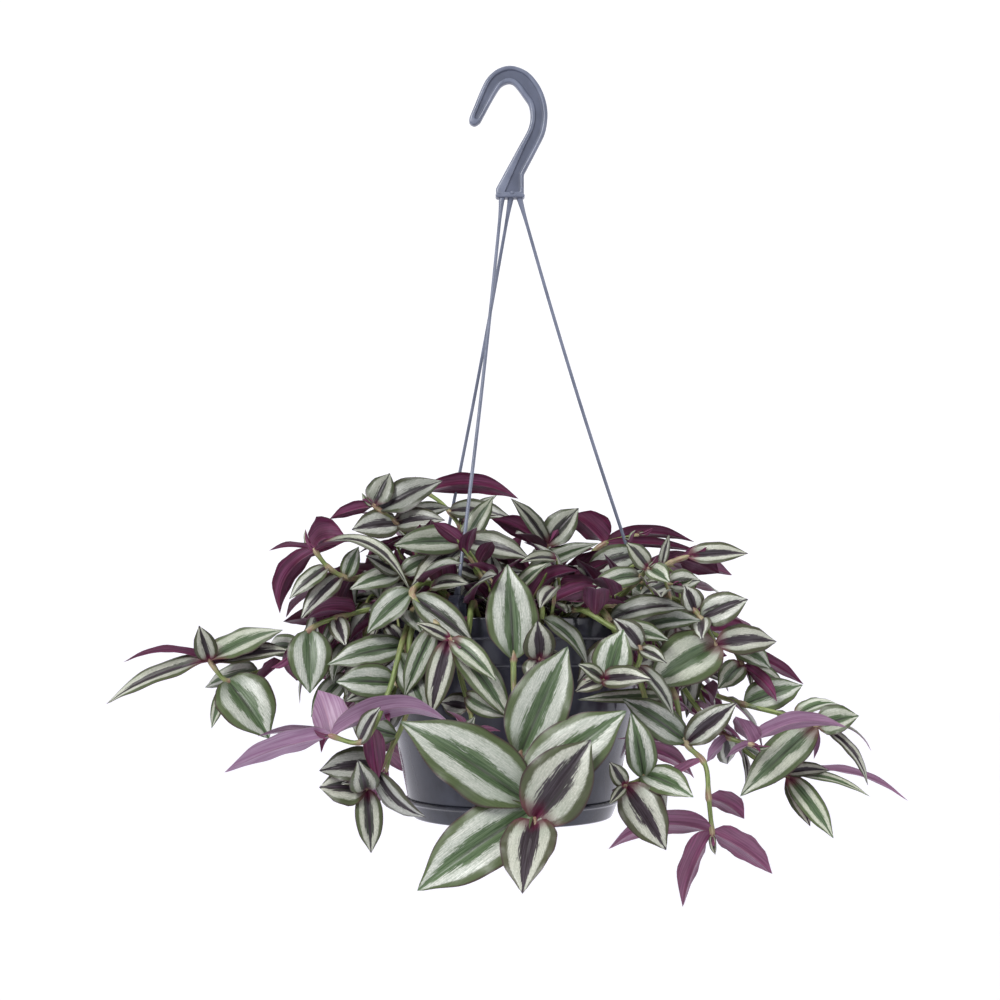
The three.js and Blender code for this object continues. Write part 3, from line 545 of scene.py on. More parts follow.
def saucer():
    profile = soften([
        (0, saucer_bottom), (46, saucer_bottom), (46.6, saucer_bottom + 0.6),
        (48.6, saucer_bottom + 0.6), (49.2, saucer_bottom), (52.2, saucer_bottom),
        (53, saucer_bottom + 0.6), (56, saucer_top - 2.4), (57.1, saucer_top - 1.7),
        (57.3, saucer_top - 0.6), (56.6, saucer_top), (54.7, saucer_top),
        (51.8, saucer_bottom + 1.5), (0, saucer_bottom + 1.5)], 0.5)
    form = Form()
    form.add(*turned(profile, pot_segments))
    tab = [(55.5, saucer_top - 1.9), (58.4, saucer_top - 1.9), (58.4, saucer_top - 0.5),
           (55.5, saucer_top - 0.5)]
    points, faces, _ = plate(tab, tab_half, 0.3, 0.7)
    form.add(swung(points, heading_out(tab_heading)), faces)
    return form.build("saucer_dish", [saucer_black], 50)


saucer_black = plastic("saucer_black", "2a2c33", "393c46", 0.14, 60)
fit(saucer(), "saucer_plastic", "saucer")


# ---- soil ----
# The soil is dark peat with coarse crumbs and a few pale fibres, filled in up to 15 mm under
# the rim. It settles a little unevenly round the stems.
soil_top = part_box("soil")[1].z / MM
soil_radius = 69.3
soil_rings = 34
crumbs = 900
crumb_spread = 66


class Draw:
    """Evenly spread numbers from 0 to 1 that are the same on every run."""

    def __init__(self, seed):
        self.seed = seed

    def __call__(self, low=0.0, high=1.0):
        self.seed = self.seed * 48271 % 2147483647
        return low + (high - low) * self.seed / 2147483647


def hump(x, y):
    """How far the soil stands below its top at a place."""
    waves = math.sin(x / 7.3 + 1) * math.cos(y / 6.1) + 0.7 * math.sin((x + 2 * y) / 5.2)
    return 1.1 + 0.45 * waves


def soil():
    edge = wall_radius - wall - 0.5
    side = [(0, pot_floor + 0.3), (49, pot_floor + 0.3), (52.1, saucer_top + 2.4),
            (edge, shoulder), (soil_radius, soil_top - 3)]
    top = [(soil_radius * (1 - k / soil_rings), soil_top) for k in range(soil_rings + 1)]
    points, faces = turned(side + top, 96)
    points = np.array(points)
    for point in points:
        if point[2] > soil_top - 0.1:
            point[2] -= hump(point[0], point[1])
    form = Form()
    form.add(points, faces)
    draw = Draw(30011)
    ball = bmesh.new()
    bmesh.ops.create_icosphere(ball, subdivisions=1, radius=1)
    corners = np.array([v.co for v in ball.verts])
    sides = [tuple(v.index for v in face.verts) for face in ball.faces]
    ball.free()
    for _ in range(crumbs):
        radius, angle = crumb_spread * math.sqrt(draw()), draw(0, 2 * math.pi)
        x, y = radius * math.cos(angle), radius * math.sin(angle)
        size = 0.6 + 1.5 * draw() ** 3
        rough = np.array([[draw(0.6, 1.2)] for _ in corners])
        lump = corners * rough * (size, size * draw(0.6, 1), size * draw(0.5, 0.9))
        # a crumb is half sunk, and stays under the top of the soil
        form.add(lump + (x, y, soil_top - hump(x, y) + min(0.2 * size, 0.3)), sides)
    fill = form.build("soil_fill", [peat], 60)
    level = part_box("soil")[1].z
    for point in fill.data.vertices:
        point.co.z = min(point.co.z, level)
    return fill


def peat_finish():
    finish = Finish("peat")
    at = finish.place()
    lumps = finish.noise(at, 210, 4, 0.7)
    specks = finish.noise(at, 900, 2)
    fibres = finish.noise(finish.stretch(at, (500, 120, 500)), 1, 2)
    base = finish.mix(finish.rise(lumps, 0.35, 0.7), colour("17110d"), colour("4a382a"))
    base = finish.mix(finish.rise(fibres, 0.66, 0.72), base, colour("7d6748"))
    return finish.surface({
        "Base Color": base,
        "Roughness": 0.86 + 0.12 * specks,
        "Normal": finish.relief(lumps + 0.5 * specks, 0.8),
    })


peat = peat_finish()
fit(soil(), "potting_soil", "soil")

# ---- leafy stems ----
# The stems root in the soil and spill over the rim. They are juicy and jointed, and at each
# joint a leaf wraps its base round the stem: dark above with two silver bands, and purple
# below. The youngest leaves, at the end of a stem, are still rolled.

# The shoots of the front: name, place in the soil, the points that the stem passes, and its
# leaves (place along the stem from 0 to 1, X, Y and Z of the tip, width, turn, arch). Turn is
# the roll of the blade about its own length, in degrees: at 0 its upper face looks to the
# front, at 90 up, at 180 back. Arch is a part of its length.
shoots = [
    ("front", (-2, -54),
     [(-2, -66, -297), (-1, -77, -295), (0, -88, -306), (0, -98, -333), (3, -106, -364),
      (6, -116, -382), (10, -126, -393)],
     [(0.47, -3, -90, -274, 25, 12, 0.06), (0.76, 25, -106, -313, 29, 12, 0.06),
      (0.91, -52, -113, -347, 33, 25, 0.1), (0.87, 51, -111, -342, 28, 25, 0.1),
      (0.97, 34, -129, -354, 30, 12, 0.1), (0.94, -43, -128, -420, 29, 25, 0.1),
      (0.98, 3, -132, -422, 25, 12, 0.12), (1, 18, -130, -389, 5, 25, 0.1)]),
    ("front_left", (-30, -38),
     [(-35, -52, -288), (-43, -68, -282), (-49, -82, -288), (-40, -88, -299), (-29, -98, -311)],
     [(0.71, -19, -89, -312, 16, 25, 0.12), (0.67, -71, -78, -307, 17, 25, 0.15),
      (0.99, -46, -103, -302, 7, 25, 0.1), (1, -8, -108, -329, 12, 25, 0.2),
      (0.98, -39, -93, -346, 13, 12, 0.12), (0.88, -52, -87, -337, 12, 12, 0.15),
      (1, -1, -94, -348, 17, 25, 0.1)]),
    ("left_high", (-38, -16),
     [(-49, -20, -289), (-66, -30, -274), (-83, -44, -279), (-93, -50, -274), (-101, -52, -264)],
     [(0.99, -117, -54, -297, 15, 130, 0.55), (1, -124, -48, -265, 8, 105, 0.2),
      (1, -85, -36, -259, 24, 130, 0.6), (1, -50, -70, -287, 13, 60, 0.52),
      (0.77, -94, -48, -315, 24, 130, 0.12), (0.81, -106, -58, -300, 13, 25, 0.15),
      (0.89, -112, -58, -290, 11, 25, 0.15), (0.79, -78, -51, -263, 10, 12, 0.1)]),
    ("left_drop", (-46, -26),
     [(-57, -35, -297), (-65, -41, -294), (-84, -54, -298), (-99, -64, -304), (-111, -58, -318)],
     [(0.84, -99, -72, -336, 21, 12, 0.1), (0.67, -95, -62, -316, 7, 12, 0.1),
      (0.69, -82, -65, -313, 10, 12, 0.1)]),
    ("far_left", (-50, -12),
     [(-61, -20, -297), (-72, -27, -294), (-94, -34, -305), (-113, -36, -319), (-134, -42, -328),
      (-144, -46, -331), (-154, -50, -319)],
     [(1, -203, -54, -342, 15, 50, 0.15), (1, -192, -60, -321, 10, 105, 0.25),
      (1, -156, -56, -303, 11, 12, 0.05), (1, -118, -36, -305, 23, 50, 0.12),
      (0.97, -112, -45, -316, 15, 50, 0.12), (0.89, -121, -56, -359, 29, 25, 0.15),
      (0.89, -153, -40, -355, 7, 12, 0.1)]),
    ("left_purple", (-36, -46),
     [(-44, -54, -297), (-48, -62, -294), (-53, -76, -308), (-60, -88, -336), (-72, -88, -358),
      (-88, -88, -355)],
     [(1, -136, -92, -372, 16, 130, 0.14), (1, -123, -80, -356, 7, 130, 0.2),
      (1, -94, -80, -334, 21, 150, 0.1), (0.99, -27, -100, -350, 18, 125, 0.42),
      (0.88, -62, -80, -341, 12, 25, 0.1)]),
    ("left_low", (-26, -48),
     [(-36, -57, -297), (-43, -66, -293), (-50, -76, -308), (-50, -76, -339), (-61, -70, -366),
      (-73, -66, -384)],
     [(1, -94, -72, -381, 19, 25, 0.1), (0.89, -94, -73, -373, 18, 25, 0.15),
      (0.93, -83, -78, -379, 7, 25, 0.1), (0.99, -73, -74, -366, 14, 12, 0.2),
      (0.91, -42, -74, -395, 18, -45, 0.28), (1, -69, -72, -413, 13, 12, 0.25),
      (1, -78, -76, -389, 7, 25, 0.1)]),
    ("crown_left", (-30, 2),
     [(-34, 0, -289), (-44, -8, -268), (-60, -18, -250), (-74, -24, -239)],
     [(0.99, -65, -20, -222, 15, 12, 0.05), (0.95, -37, -20, -226, 20, 25, 0.1),
      (1, -96, -26, -247, 9, 130, 0.15), (0.83, -84, -30, -253, 17, 25, 0.15),
      (0.83, -35, -30, -248, 14, 25, 0.25), (0.86, -33, -9, -239, 11, 25, 0.15)]),
    ("crown_front", (-16, -14),
     [(-18, -20, -289), (-22, -38, -274), (-25, -48, -260)],
     [(1, -60, -58, -263, 17, 25, 0.15), (1, 9, -60, -270, 16, 25, 0.2),
      (1, -10, -48, -237, 11, 12, 0.08), (0.97, -51, -61, -284, 16, 25, 0.08),
      (0.76, -23, -45, -262, 13, 12, 0.1)]),
    ("crown_back", (-14, 22),
     [(-16, 24, -286), (-24, 26, -256), (-38, 28, -235), (-50, 30, -226)],
     [(0.99, 4, 28, -231, 15, 130, 0.34), (0.82, 1, 10, -244, 14, 25, 0.2),
      (0.73, -8, 17, -230, 9, 25, 0.1)]),
    ("crown_mid", (3, -8),
     [(2, -10, -292), (9, -18, -273), (19, -22, -260)],
     [(0.99, -11, -26, -247, 15, 130, 0.15), (1, 35, -24, -241, 17, 25, 0.1),
      (1, -1, -16, -242, 10, 25, 0.15), (0.74, -11, -28, -259, 10, 130, 0.1),
      (0.74, 45, -32, -260, 11, 25, 0.12)]),
    ("crown_right", (16, 16),
     [(22, 20, -288), (38, 22, -270), (50, 18, -258), (71, 19, -252)],
     [(0.8, 33, 12, -241, 22, 130, 0.1), (0.8, 102, 20, -256, 12, 130, 0.3),
      (0.77, 105, -6, -265, 9, 130, 0.18), (1, 67, 33, -248, 11, 25, 0.1)]),
    ("right_high", (34, -8),
     [(44, -10, -292), (68, -14, -279), (85, -16, -269), (94, -18, -266)],
     [(1, 124, -24, -265, 13, 25, 0.1), (0.95, 110, -30, -275, 19, 150, 0.12),
      (0.89, 121, -10, -280, 14, 140, 0.1), (0.82, 84, -12, -254, 5, 12, 0.1)]),
    ("right_front", (36, -30),
     [(44, -40, -299), (56, -54, -287), (68, -62, -274)],
     [(1, 56, -66, -262, 11, 25, 0.1), (1, 77, -70, -282, 12, 25, 0.1),
      (0.9, 35, -75, -287, 12, 25, 0.3), (0.85, 43, -66, -277, 8, 25, 0.15)]),
    ("right_rim", (22, -54),
     [(27, -62, -297), (32, -70, -295), (46, -80, -303), (60, -88, -314), (56, -96, -325),
      (40, -100, -329)],
     [(0.71, 47, -94, -300, 13, 25, 0.2), (0.96, 51, -105, -305, 20, 12, 0.1),
      (1, 63, -110, -328, 12, 25, 0.2), (1, 29, -110, -321, 8, 25, 0.1),
      (1, 28, -106, -334, 9, 25, 0.1), (0.72, 72, -97, -321, 8, 25, 0.2)]),
    ("right_mid", (44, -26),
     [(54, -33, -297), (75, -44, -288), (91, -52, -295), (101, -62, -314)],
     [(0.83, 117, -61, -290, 17, 25, 0.15), (0.6, 103, -55, -313, 9, 25, 0.12),
      (0.99, 132, -55, -311, 17, 25, 0.22), (1, 64, -82, -333, 28, 25, 0.1),
      (0.77, 86, -56, -283, 13, 12, 0.1), (0.83, 92, -63, -310, 10, 25, 0.1),
      (1, 81, -68, -335, 13, 25, 0.1)]),
    ("right_mid2", (52, -14),
     [(62, -18, -297), (74, -22, -294), (93, -26, -302), (112, -30, -312), (119, -36, -325)],
     [(0.86, 133, -34, -325, 13, 25, 0.3), (0.89, 150, -32, -333, 10, 130, 0.15),
      (0.97, 104, -43, -335, 13, 25, 0.1), (1, 141, -40, -335, 11, 25, 0.15),
      (1, 129, -48, -340, 9, 130, 0.15)]),
    ("far_right", (50, -22),
     [(60, -27, -297), (70, -32, -295), (80, -34, -306), (97, -36, -334), (115, -44, -342),
      (138, -56, -348), (152, -62, -353)],
     [(0.74, 148, -49, -333, 18, 25, 0.1), (0.91, 165, -51, -343, 12, 60, 0.3),
      (1, 169, -68, -347, 16, 25, 0.1), (0.98, 109, -75, -385, 18, 25, 0.1),
      (1, 177, -64, -365, 6, 70, 0.4), (1, 173, -66, -381, 9, 50, 0.3),
      (0.97, 149, -56, -369, 5, 130, 0.2)]),
    ("right_purple", (42, -36),
     [(51, -42, -297), (60, -48, -295), (71, -55, -308), (88, -64, -340), (102, -76, -356),
      (115, -84, -360)],
     [(1, 157, -92, -351, 13, 130, 0.35), (1, 105, -90, -346, 15, 130, 0.1),
      (0.99, 100, -89, -366, 7, 130, 0.2), (0.9, 92, -83, -368, 9, 130, 0.1),
      (0.88, 106, -84, -381, 12, 12, 0.1)]),
    ("far_right_low", (54, -6),
     [(64, -10, -297), (76, -13, -295), (87, -18, -308), (102, -30, -349), (120, -44, -368),
      (139, -50, -379)],
     [(1, 197, -50, -390, 10, 110, 0.28), (1, 176, -58, -387, 8, 60, 0.2),
      (1, 157, -60, -407, 12, 12, 0.2), (1, 147, -54, -402, 11, 12, 0.05),
      (0.97, 158, -41, -375, 8, 25, 0.3)]),
    ("right_low", (36, -44),
     [(44, -50, -297), (52, -57, -295), (61, -63, -308), (78, -70, -335), (83, -76, -359),
      (91, -84, -369), (92, -88, -385), (93, -92, -402)],
     [(1, 78, -96, -433, 19, 130, 0.12), (0.99, 121, -90, -419, 18, 130, 0.12),
      (0.99, 44, -94, -407, 20, 130, 0.34), (0.57, 31, -77, -339, 8, 25, 0.08),
      (0.7, 52, -84, -338, 17, 25, 0.1), (0.72, 50, -89, -358, 6, 130, 0.1),
      (0.78, 51, -105, -389, 9, 130, 0.08), (0.71, 107, -82, -340, 15, 25, 0.1),
      (0.89, 110, -80, -395, 16, 130, 0.2)]),
    ("right_low2", (30, -50),
     [(37, -58, -297), (43, -65, -295), (51, -71, -308), (63, -75, -335), (64, -80, -350),
      (62, -90, -373), (50, -100, -378)],
     [(0.9, 55, -95, -344, 16, 12, 0.1), (0.89, 86, -97, -389, 16, 25, 0.15),
      (1, 69, -106, -405, 21, 12, 0.1), (0.9, 73, -85, -391, 11, 25, 0.15),
      (0.99, 44, -104, -366, 8, 12, 0.1), (1, 43, -110, -384, 5, 25, 0.05)]),
    ("left_mid", (-42, -34),
     [(-50, -47, -297), (-50, -56, -294), (-52, -63, -303), (-54, -72, -318), (-59, -82, -341)],
     [(0.89, -85, -84, -330, 17, 20, 0.16), (0.69, -90, -79, -322, 16, 20, 0.2),
      (0.89, -54, -74, -314, 7, 110, 0.2), (0.88, -82, -70, -340, 12, 25, 0.1),
      (0.76, -46, -67, -339, 11, 12, 0.15), (0.72, -65, -73, -301, 10, 25, 0.1)]),
    ("front_deep", (-14, -52),
     [(-18, -62, -297), (-20, -74, -292), (-22, -86, -308), (-26, -84, -322), (-20, -88, -350),
      (-26, -96, -362)],
     [(0.93, -32, -95, -343, 8, 125, 0.3), (0.92, -18, -97, -345, 7, 20, 0.1),
      (0.92, -6, -89, -353, 7, 130, 0.2), (0.81, -35, -80, -340, 12, 25, 0.1),
      (0.81, -3, -80, -336, 12, 25, 0.1)]),
    ("mid_front", (14, -34),
     [(22, -42, -298), (27, -58, -288), (29, -68, -291)],
     [(0.56, 16, -50, -293, 14, 25, 0.12), (0.53, 39, -47, -289, 15, 25, 0.1),
      (0.66, 10, -55, -285, 10, 25, 0.1), (0.71, 23, -50, -278, 9, 12, 0.1)]),
    ("mid_low", (8, -56),
     [(12, -66, -297), (14, -77, -295), (13, -86, -306), (12, -92, -320)],
     [(0.99, 11, -96, -301, 15, 12, 0.12), (0.99, 22, -100, -316, 7, 25, 0.2),
      (1, 10, -98, -331, 14, 12, 0.12)]),
    ("mid_right", (24, 4),
     [(40, 0, -292), (56, -8, -277), (66, -12, -268), (63, -18, -260)],
     [(0.92, 37, -26, -275, 17, 20, 0.1), (0.67, 42, -21, -279, 12, 25, 0.12),
      (0.54, 24, -24, -292, 16, 25, 0.2), (0.82, 82, -18, -285, 14, 25, 0.12)]),
    ("mid_round", (40, -14),
     [(52, -24, -294), (70, -36, -283), (82, -44, -282)],
     [(0.76, 62, -56, -281, 20, 10, 0.1), (0.96, 64, -48, -288, 13, 25, 0.12),
      (0.96, 96, -44, -280, 14, 25, 0.15), (0.92, 80, -55, -310, 11, 12, 0.15)]),
    ("crown_low", (-24, -20),
     [(-32, -26, -296), (-46, -36, -286), (-56, -46, -278), (-62, -52, -272)],
     [(0.89, -82, -57, -285, 13, 25, 0.15), (0.85, -31, -49, -281, 9, 130, 0.15),
      (0.77, -68, -55, -297, 12, 25, 0.15), (0.88, -40, -46, -268, 11, 25, 0.15),
      (0.9, -74, -52, -268, 10, 25, 0.1)]),
    ("crown_low2", (-6, -28),
     [(-8, -32, -294), (-14, -44, -284), (-20, -54, -274)],
     [(0.88, -16, -53, -261, 15, 10, 0.1), (0.87, -27, -61, -291, 12, 25, 0.1),
      (0.9, -34, -56, -273, 10, 25, 0.15), (0.85, 6, -52, -276, 11, 25, 0.15),
      (0.7, 4, -50, -293, 10, 130, 0.15)]),
]

# The rest grows by rule, in three tiers round the back: how many shoots, the heading of the
# first and the step to the next in degrees, how far out they root, the leaves on each, the
# way their upper faces look (outward, up), and the stem's path (radius, height).
tiers = [
    dict(name="hanging", count=8, start=48, step=13.5, root=50, leaves=7, look=(1, 0.8),
         path=[(62, -297), (76, -294), (88, -306), (96, -336), (101, -364), (108, -384)]),
    dict(name="spreading", count=7, start=28, step=20, root=40, leaves=6, look=(0.5, 1),
         path=[(54, -290), (76, -280), (98, -279), (118, -288), (131, -300)]),
    dict(name="crown", count=4, start=30, step=45, root=26, leaves=5, look=(0.4, 1),
         path=[(30, -288), (42, -272), (58, -263)]),
]
hole_depth = 10
stem_step = 18                        # the solids' stems have straight pieces this long
stem_base = soil_top - hole_depth + 0.4
solid_stem = 1.5                      # radius of the solids' stems
last_joint = 0.985                    # no leaf joins its stem nearer to the end than this
leans = [0, 5, -5, 10, -10, 15, -15, 20, -20]
away = [0, -5, 5, -10, 10, -15, 15, -20, 20]      # ways in which a leaf bends clear
aside = [0, 5, -5]
shrink = [1, 0.8]
same_place = 0.2                      # how near a tip is to the corner of its solid


def unit(vector):
    return vector / np.linalg.norm(vector)


def square_to(vector, along):
    """The part of a direction that is square to another."""
    return unit(vector - along * np.dot(vector, along))


def around(radius, degrees):
    """X and Y of a place, from its distance and its heading."""
    return radius * heading_out(degrees)[:2]


def stem_course(root, points):
    """The line of a stem: straight up out of the soil, and on through the points."""
    x, y = root
    return Course([(x, y, stem_base), (x, y, soil_top + 1), (x, y, soil_top + 6), *points])


def joint_on(course, along):
    """The joint's place on the straight pieces of the solid stem."""
    steps = math.ceil(course.length / stem_step)
    place = min(along, last_joint) * steps
    before = math.floor(place)
    start, end = course.at(before / steps), course.at((before + 1) / steps)
    return start + (end - start) * (place - before)


def look_of(base, tip, turn):
    """The way a leaf's upper face looks, from its turn about its own length."""
    along = unit(tip - base)
    front = square_to(np.array([0.0, -1, 0]), along)
    up = np.cross(front, along)
    if up[2] < -1e-6:
        up = -up
    return math.cos(math.radians(turn)) * front + math.sin(math.radians(turn)) * up


def corners_of(node):
    """The corners of a solid, in millimetres."""
    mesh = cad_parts[node].data
    points = np.zeros(len(mesh.vertices) * 3)
    mesh.vertices.foreach_get("co", points)
    return points.reshape(-1, 3) / MM


def lean_of(node, angle, reach):
    """The lean of a ruled stem, from where its solid stands in the soil."""
    corners = corners_of(node)
    foot = corners[abs(corners[:, 2] - stem_base) < 0.1][:, :2]

    def miss(lean):
        root = around(reach, angle + lean)
        return abs(np.sort(np.linalg.norm(foot - root, axis=1))[:4] - solid_stem).sum()
    return min(leans, key=miss)


def ruled_points(tier, angle, stretch, drift, lift):
    """The points that a ruled stem passes. It varies in the part that is past the rim."""
    points = []
    for k, (radius, height) in enumerate(tier["path"]):
        part = k / (len(tier["path"]) - 1)
        far = radius > 80 or tier["name"] == "crown"
        reach = radius * (1 + (stretch - 1) * part) if far else radius
        height = height + (lift * part if far else 0)
        points.append((*around(reach, angle + drift * part), height))
    return points


def ruled_leaves(tier, course, draw):
    """The leaves of a ruled stem, to the one side and the other by turns."""
    leaves = []
    for j in range(tier["leaves"]):
        along = 0.42 + 0.58 * j / (tier["leaves"] - 1)
        length = (50 - 16 * along) * (0.85 + 0.3 * draw())
        swing = draw() - 0.5
        droop = draw()
        base = joint_on(course, along)
        forward = course.heading(min(along, 1))
        outward = unit(base * (1, 1, 0))
        look = unit(outward * tier["look"][0] + (0, 0, tier["look"][1]))
        side = unit(np.cross(look, forward))
        last = j == tier["leaves"] - 1
        heading = forward * (1 if last else 0.45 + 0.5 * swing)
        heading = heading + side * (0.3 * swing if last else (1, -1)[j % 2])
        heading = unit(heading + look * (0.35 - 0.5 * droop))
        leaves.append(dict(along=along, base=base, look=look, side=side, sway=look,
                           tip=base + heading * length, width=length * 0.44,
                           arch=0.08 + 0.2 * droop))
    return leaves


def grow_stems():
    """Every shoot of the part, with its course and its leaves as they first grow."""
    draw = Draw(48611)
    grown = []
    for name, root, stem_points, leaf_list in shoots:
        course = stem_course(root, stem_points)
        leaves = []
        for along, x, y, z, width, turn, arch in leaf_list:
            base, tip = joint_on(course, along), np.array([x, y, z], float)
            leaves.append(dict(along=along, base=base, tip=tip, width=width, arch=arch,
                               look=look_of(base, tip, turn), side=np.array([0, 0, 1.0]),
                               sway=np.array([0, 1.0, 0])))
        grown.append(dict(node="shoot_" + name, course=course, leaves=leaves))
    for tier in tiers:
        for i in range(tier["count"]):
            angle = tier["start"] + tier["step"] * i + 6 * (draw() - 0.5)
            stretch = 0.9 + 0.22 * draw()
            drift = 14 * (draw() - 0.5)
            lift = 10 * (draw() - 0.5)
            node = f"shoot_{tier['name']}_{i + 1}"
            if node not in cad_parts:
                continue
            angle += lean_of(node, angle, tier["root"])
            points = ruled_points(tier, angle, stretch, drift, lift)
            course = stem_course(around(tier["root"], angle), points)
            grown.append(dict(node=node, course=course,
                              leaves=ruled_leaves(tier, course, draw)))
    for shoot in grown:
        for leaf in shoot["leaves"]:
            leaf["fold"] = math.radians(8 + 16 * draw())
            leaf["twist"] = math.radians(30 * (draw() - 0.5))
    return grown


def settled_tip(leaf, corners):
    """Where the tip came to rest, which is a corner of the solid, or None."""
    for length in shrink:
        for over in aside:
            for bend in away:
                tip = leaf["base"] + (leaf["tip"] - leaf["base"]) * length
                tip = tip + leaf["sway"] * bend + leaf["side"] * over
                if corners.find(tip)[2] < same_place:
                    return tip
    return None


def sprouted(grown):
    """The shoots with the leaves that their solids have."""
    for shoot in grown:
        corners = corners_of(shoot["node"])
        tree = KDTree(len(corners))
        for i, corner in enumerate(corners):
            tree.insert(corner, i)
        tree.balance()
        kept = []
        for leaf in shoot["leaves"]:
            leaf["tip"] = settled_tip(leaf, tree)
            if leaf["tip"] is not None:
                kept.append(leaf)
        shoot["leaves"] = kept
    return grown


blade_thickness = 0.55
grain_rows = 2.3                      # length of a leaf for each row of faces
smallest_rows, largest_rows = 10, 26
fullness = 0.54                       # widest half of a blade, as a part of its width
lead, roundness = 0.74, 0.68          # how near the base it is widest, and how blunt
waist = 0.42                          # how much the point is drawn in


def ramp(values, low, high):
    """A soft step from 0 to 1 between two values."""
    t = np.clip((values - low) / (high - low), 0, 1)
    return t * t * (3 - 2 * t)


def blade_faces(rows, columns):
    """The faces of a leaf: above, below, at its base and at its tip, which is its last point.
    The points above come first, and those below share the edges with them."""
    size = columns + 1
    start = rows * size
    tip = start + rows * (columns - 1)

    def above(i, j):
        return i * size + j

    def under(i, j):
        return above(i, j) if j in (0, columns) else start + i * (columns - 1) + j - 1

    faces, finishes = [], []
    for j in range(columns):
        for i in range(rows - 1):
            faces.append((above(i, j), above(i + 1, j), above(i + 1, j + 1), above(i, j + 1)))
            faces.append((under(i, j), under(i, j + 1), under(i + 1, j + 1), under(i + 1, j)))
            finishes += [0, 1]
        faces.append((above(rows - 1, j), tip, above(rows - 1, j + 1)))
        faces.append((under(rows - 1, j), under(rows - 1, j + 1), tip))
        faces.append((above(0, j), above(0, j + 1), under(0, j + 1), under(0, j)))
        finishes += [0, 1, 1]
    return [tuple(dict.fromkeys(face)) for face in faces], finishes


def blade_marks(leaf, length, u, v, half):
    """What the points of a leaf are marked with: their place on it, and its colouring."""
    shape = np.broadcast(u, v).shape
    on, over = np.broadcast_to(u, shape), np.broadcast_to(v, shape)
    places = np.stack([on, over, np.full(shape, leaf["youth"])], axis=2)
    spots = np.stack([on * length, over * half, np.full(shape, leaf["seed"])], axis=2)
    marks = {}
    for name, values, last in (("leaf", places, (1, 0, leaf["youth"])),
                               ("spot", spots, (length, 0, leaf["seed"]))):
        marks[name] = np.concatenate([values.reshape(-1, 3), values[:, 1:-1].reshape(-1, 3),
                                      [last]])
    # the mood holds the dusk, the painted light of the under face, and the shade, a random tone
    # with painted shade
    mood = (leaf["dusk"], leaf["painted_light"], leaf["shade"])
    marks["mood"] = np.tile(mood, (len(marks["leaf"]), 1))
    return marks


def blade(leaf, draw):
    """A leaf: a thin closed blade with a channelled midrib, softly waved, with a drawn-out
    tip. Along it u goes from 0 to 1, and across it v goes from -1 to 1."""
    base, tip = leaf["base"], leaf["tip"]
    chord = tip - base
    length = np.linalg.norm(chord)
    along = chord / length
    look = square_to(leaf["look"], along)
    side = np.cross(look, along)
    rows = int(min(max(length / grain_rows, smallest_rows), largest_rows))
    half_columns = int(min(max(leaf["width"] / 3 + 2, 4), 8))
    columns = 2 * half_columns
    u = np.linspace(0.012, 1, rows + 1)[:-1, None]
    spread = np.linspace(-1, 1, columns + 1)[None, :]
    v = np.sign(spread) * abs(spread) ** 1.1
    bow = base + chord * 0.5 + look * leaf["arch"] * length
    centre = base * (1 - u) ** 2 + bow * 2 * u * (1 - u) + tip * u * u
    tangent = (bow - base) * 2 * (1 - u) + (tip - bow) * 2 * u
    tangent /= np.linalg.norm(tangent, axis=1, keepdims=True)
    turn = leaf["twist"] * u
    across = side * np.cos(turn) + np.cross(tangent, side) * np.sin(turn)
    up = np.cross(tangent, across)
    half = fullness * leaf["width"] * np.sin(math.pi * u ** lead) ** roundness
    half *= 1 - waist * ramp(u, 0.7, 1.0)
    fold = leaf["fold"] + 0.45 * (1 - ramp(u, 0, 0.3))
    soft = np.sqrt(v * v + 0.004) - 0.063
    rise = half * soft * np.sin(fold)
    rise += half * 0.07 * np.sin(math.pi * abs(v)) * np.sin(math.pi * u) ** 0.5
    rise -= half * 0.06 * abs(v) ** 4
    beat, phase = draw(2.0, 3.6), draw(0, 6.28)
    swell = np.sin(2 * math.pi * beat * u + phase + np.sign(v) * 0.9)
    rise += half * 0.055 * swell * abs(v) ** 3 * np.sin(math.pi * u)
    hook = 0.035 * length * ramp(u, 0.8, 1.0) ** 2 * (1 - u) * 4
    middle = (centre - up * hook)[:, None]
    level = middle + across[:, None] * (half * v * np.cos(fold))[..., None]
    level = level + up[:, None] * rise[..., None]
    thick = blade_thickness * np.sqrt(np.clip(1 - v * v, 0, 1))
    thick = thick * (0.35 + 0.65 * half / half.max())
    rib = 0.4 * np.exp(-(v / 0.09) ** 2) * (1 - u)
    groove = 0.25 * np.exp(-(v / 0.05) ** 2) * (1 - 0.7 * u)
    top = level + up[:, None] * (thick / 2 - groove)[..., None]
    below = level - up[:, None] * (thick / 2 + rib)[..., None]
    points = np.concatenate([top.reshape(-1, 3), below[:, 1:-1].reshape(-1, 3), [tip]])
    return points, *blade_faces(rows, columns), blade_marks(leaf, length, u, v, half)


stem_radius, stem_taper = 1.75, 0.65
stem_sides = 10
stem_grain = 1.6                      # length of stem for each ring of points
sheath_length = 6.5
joint_swelling = 0.45


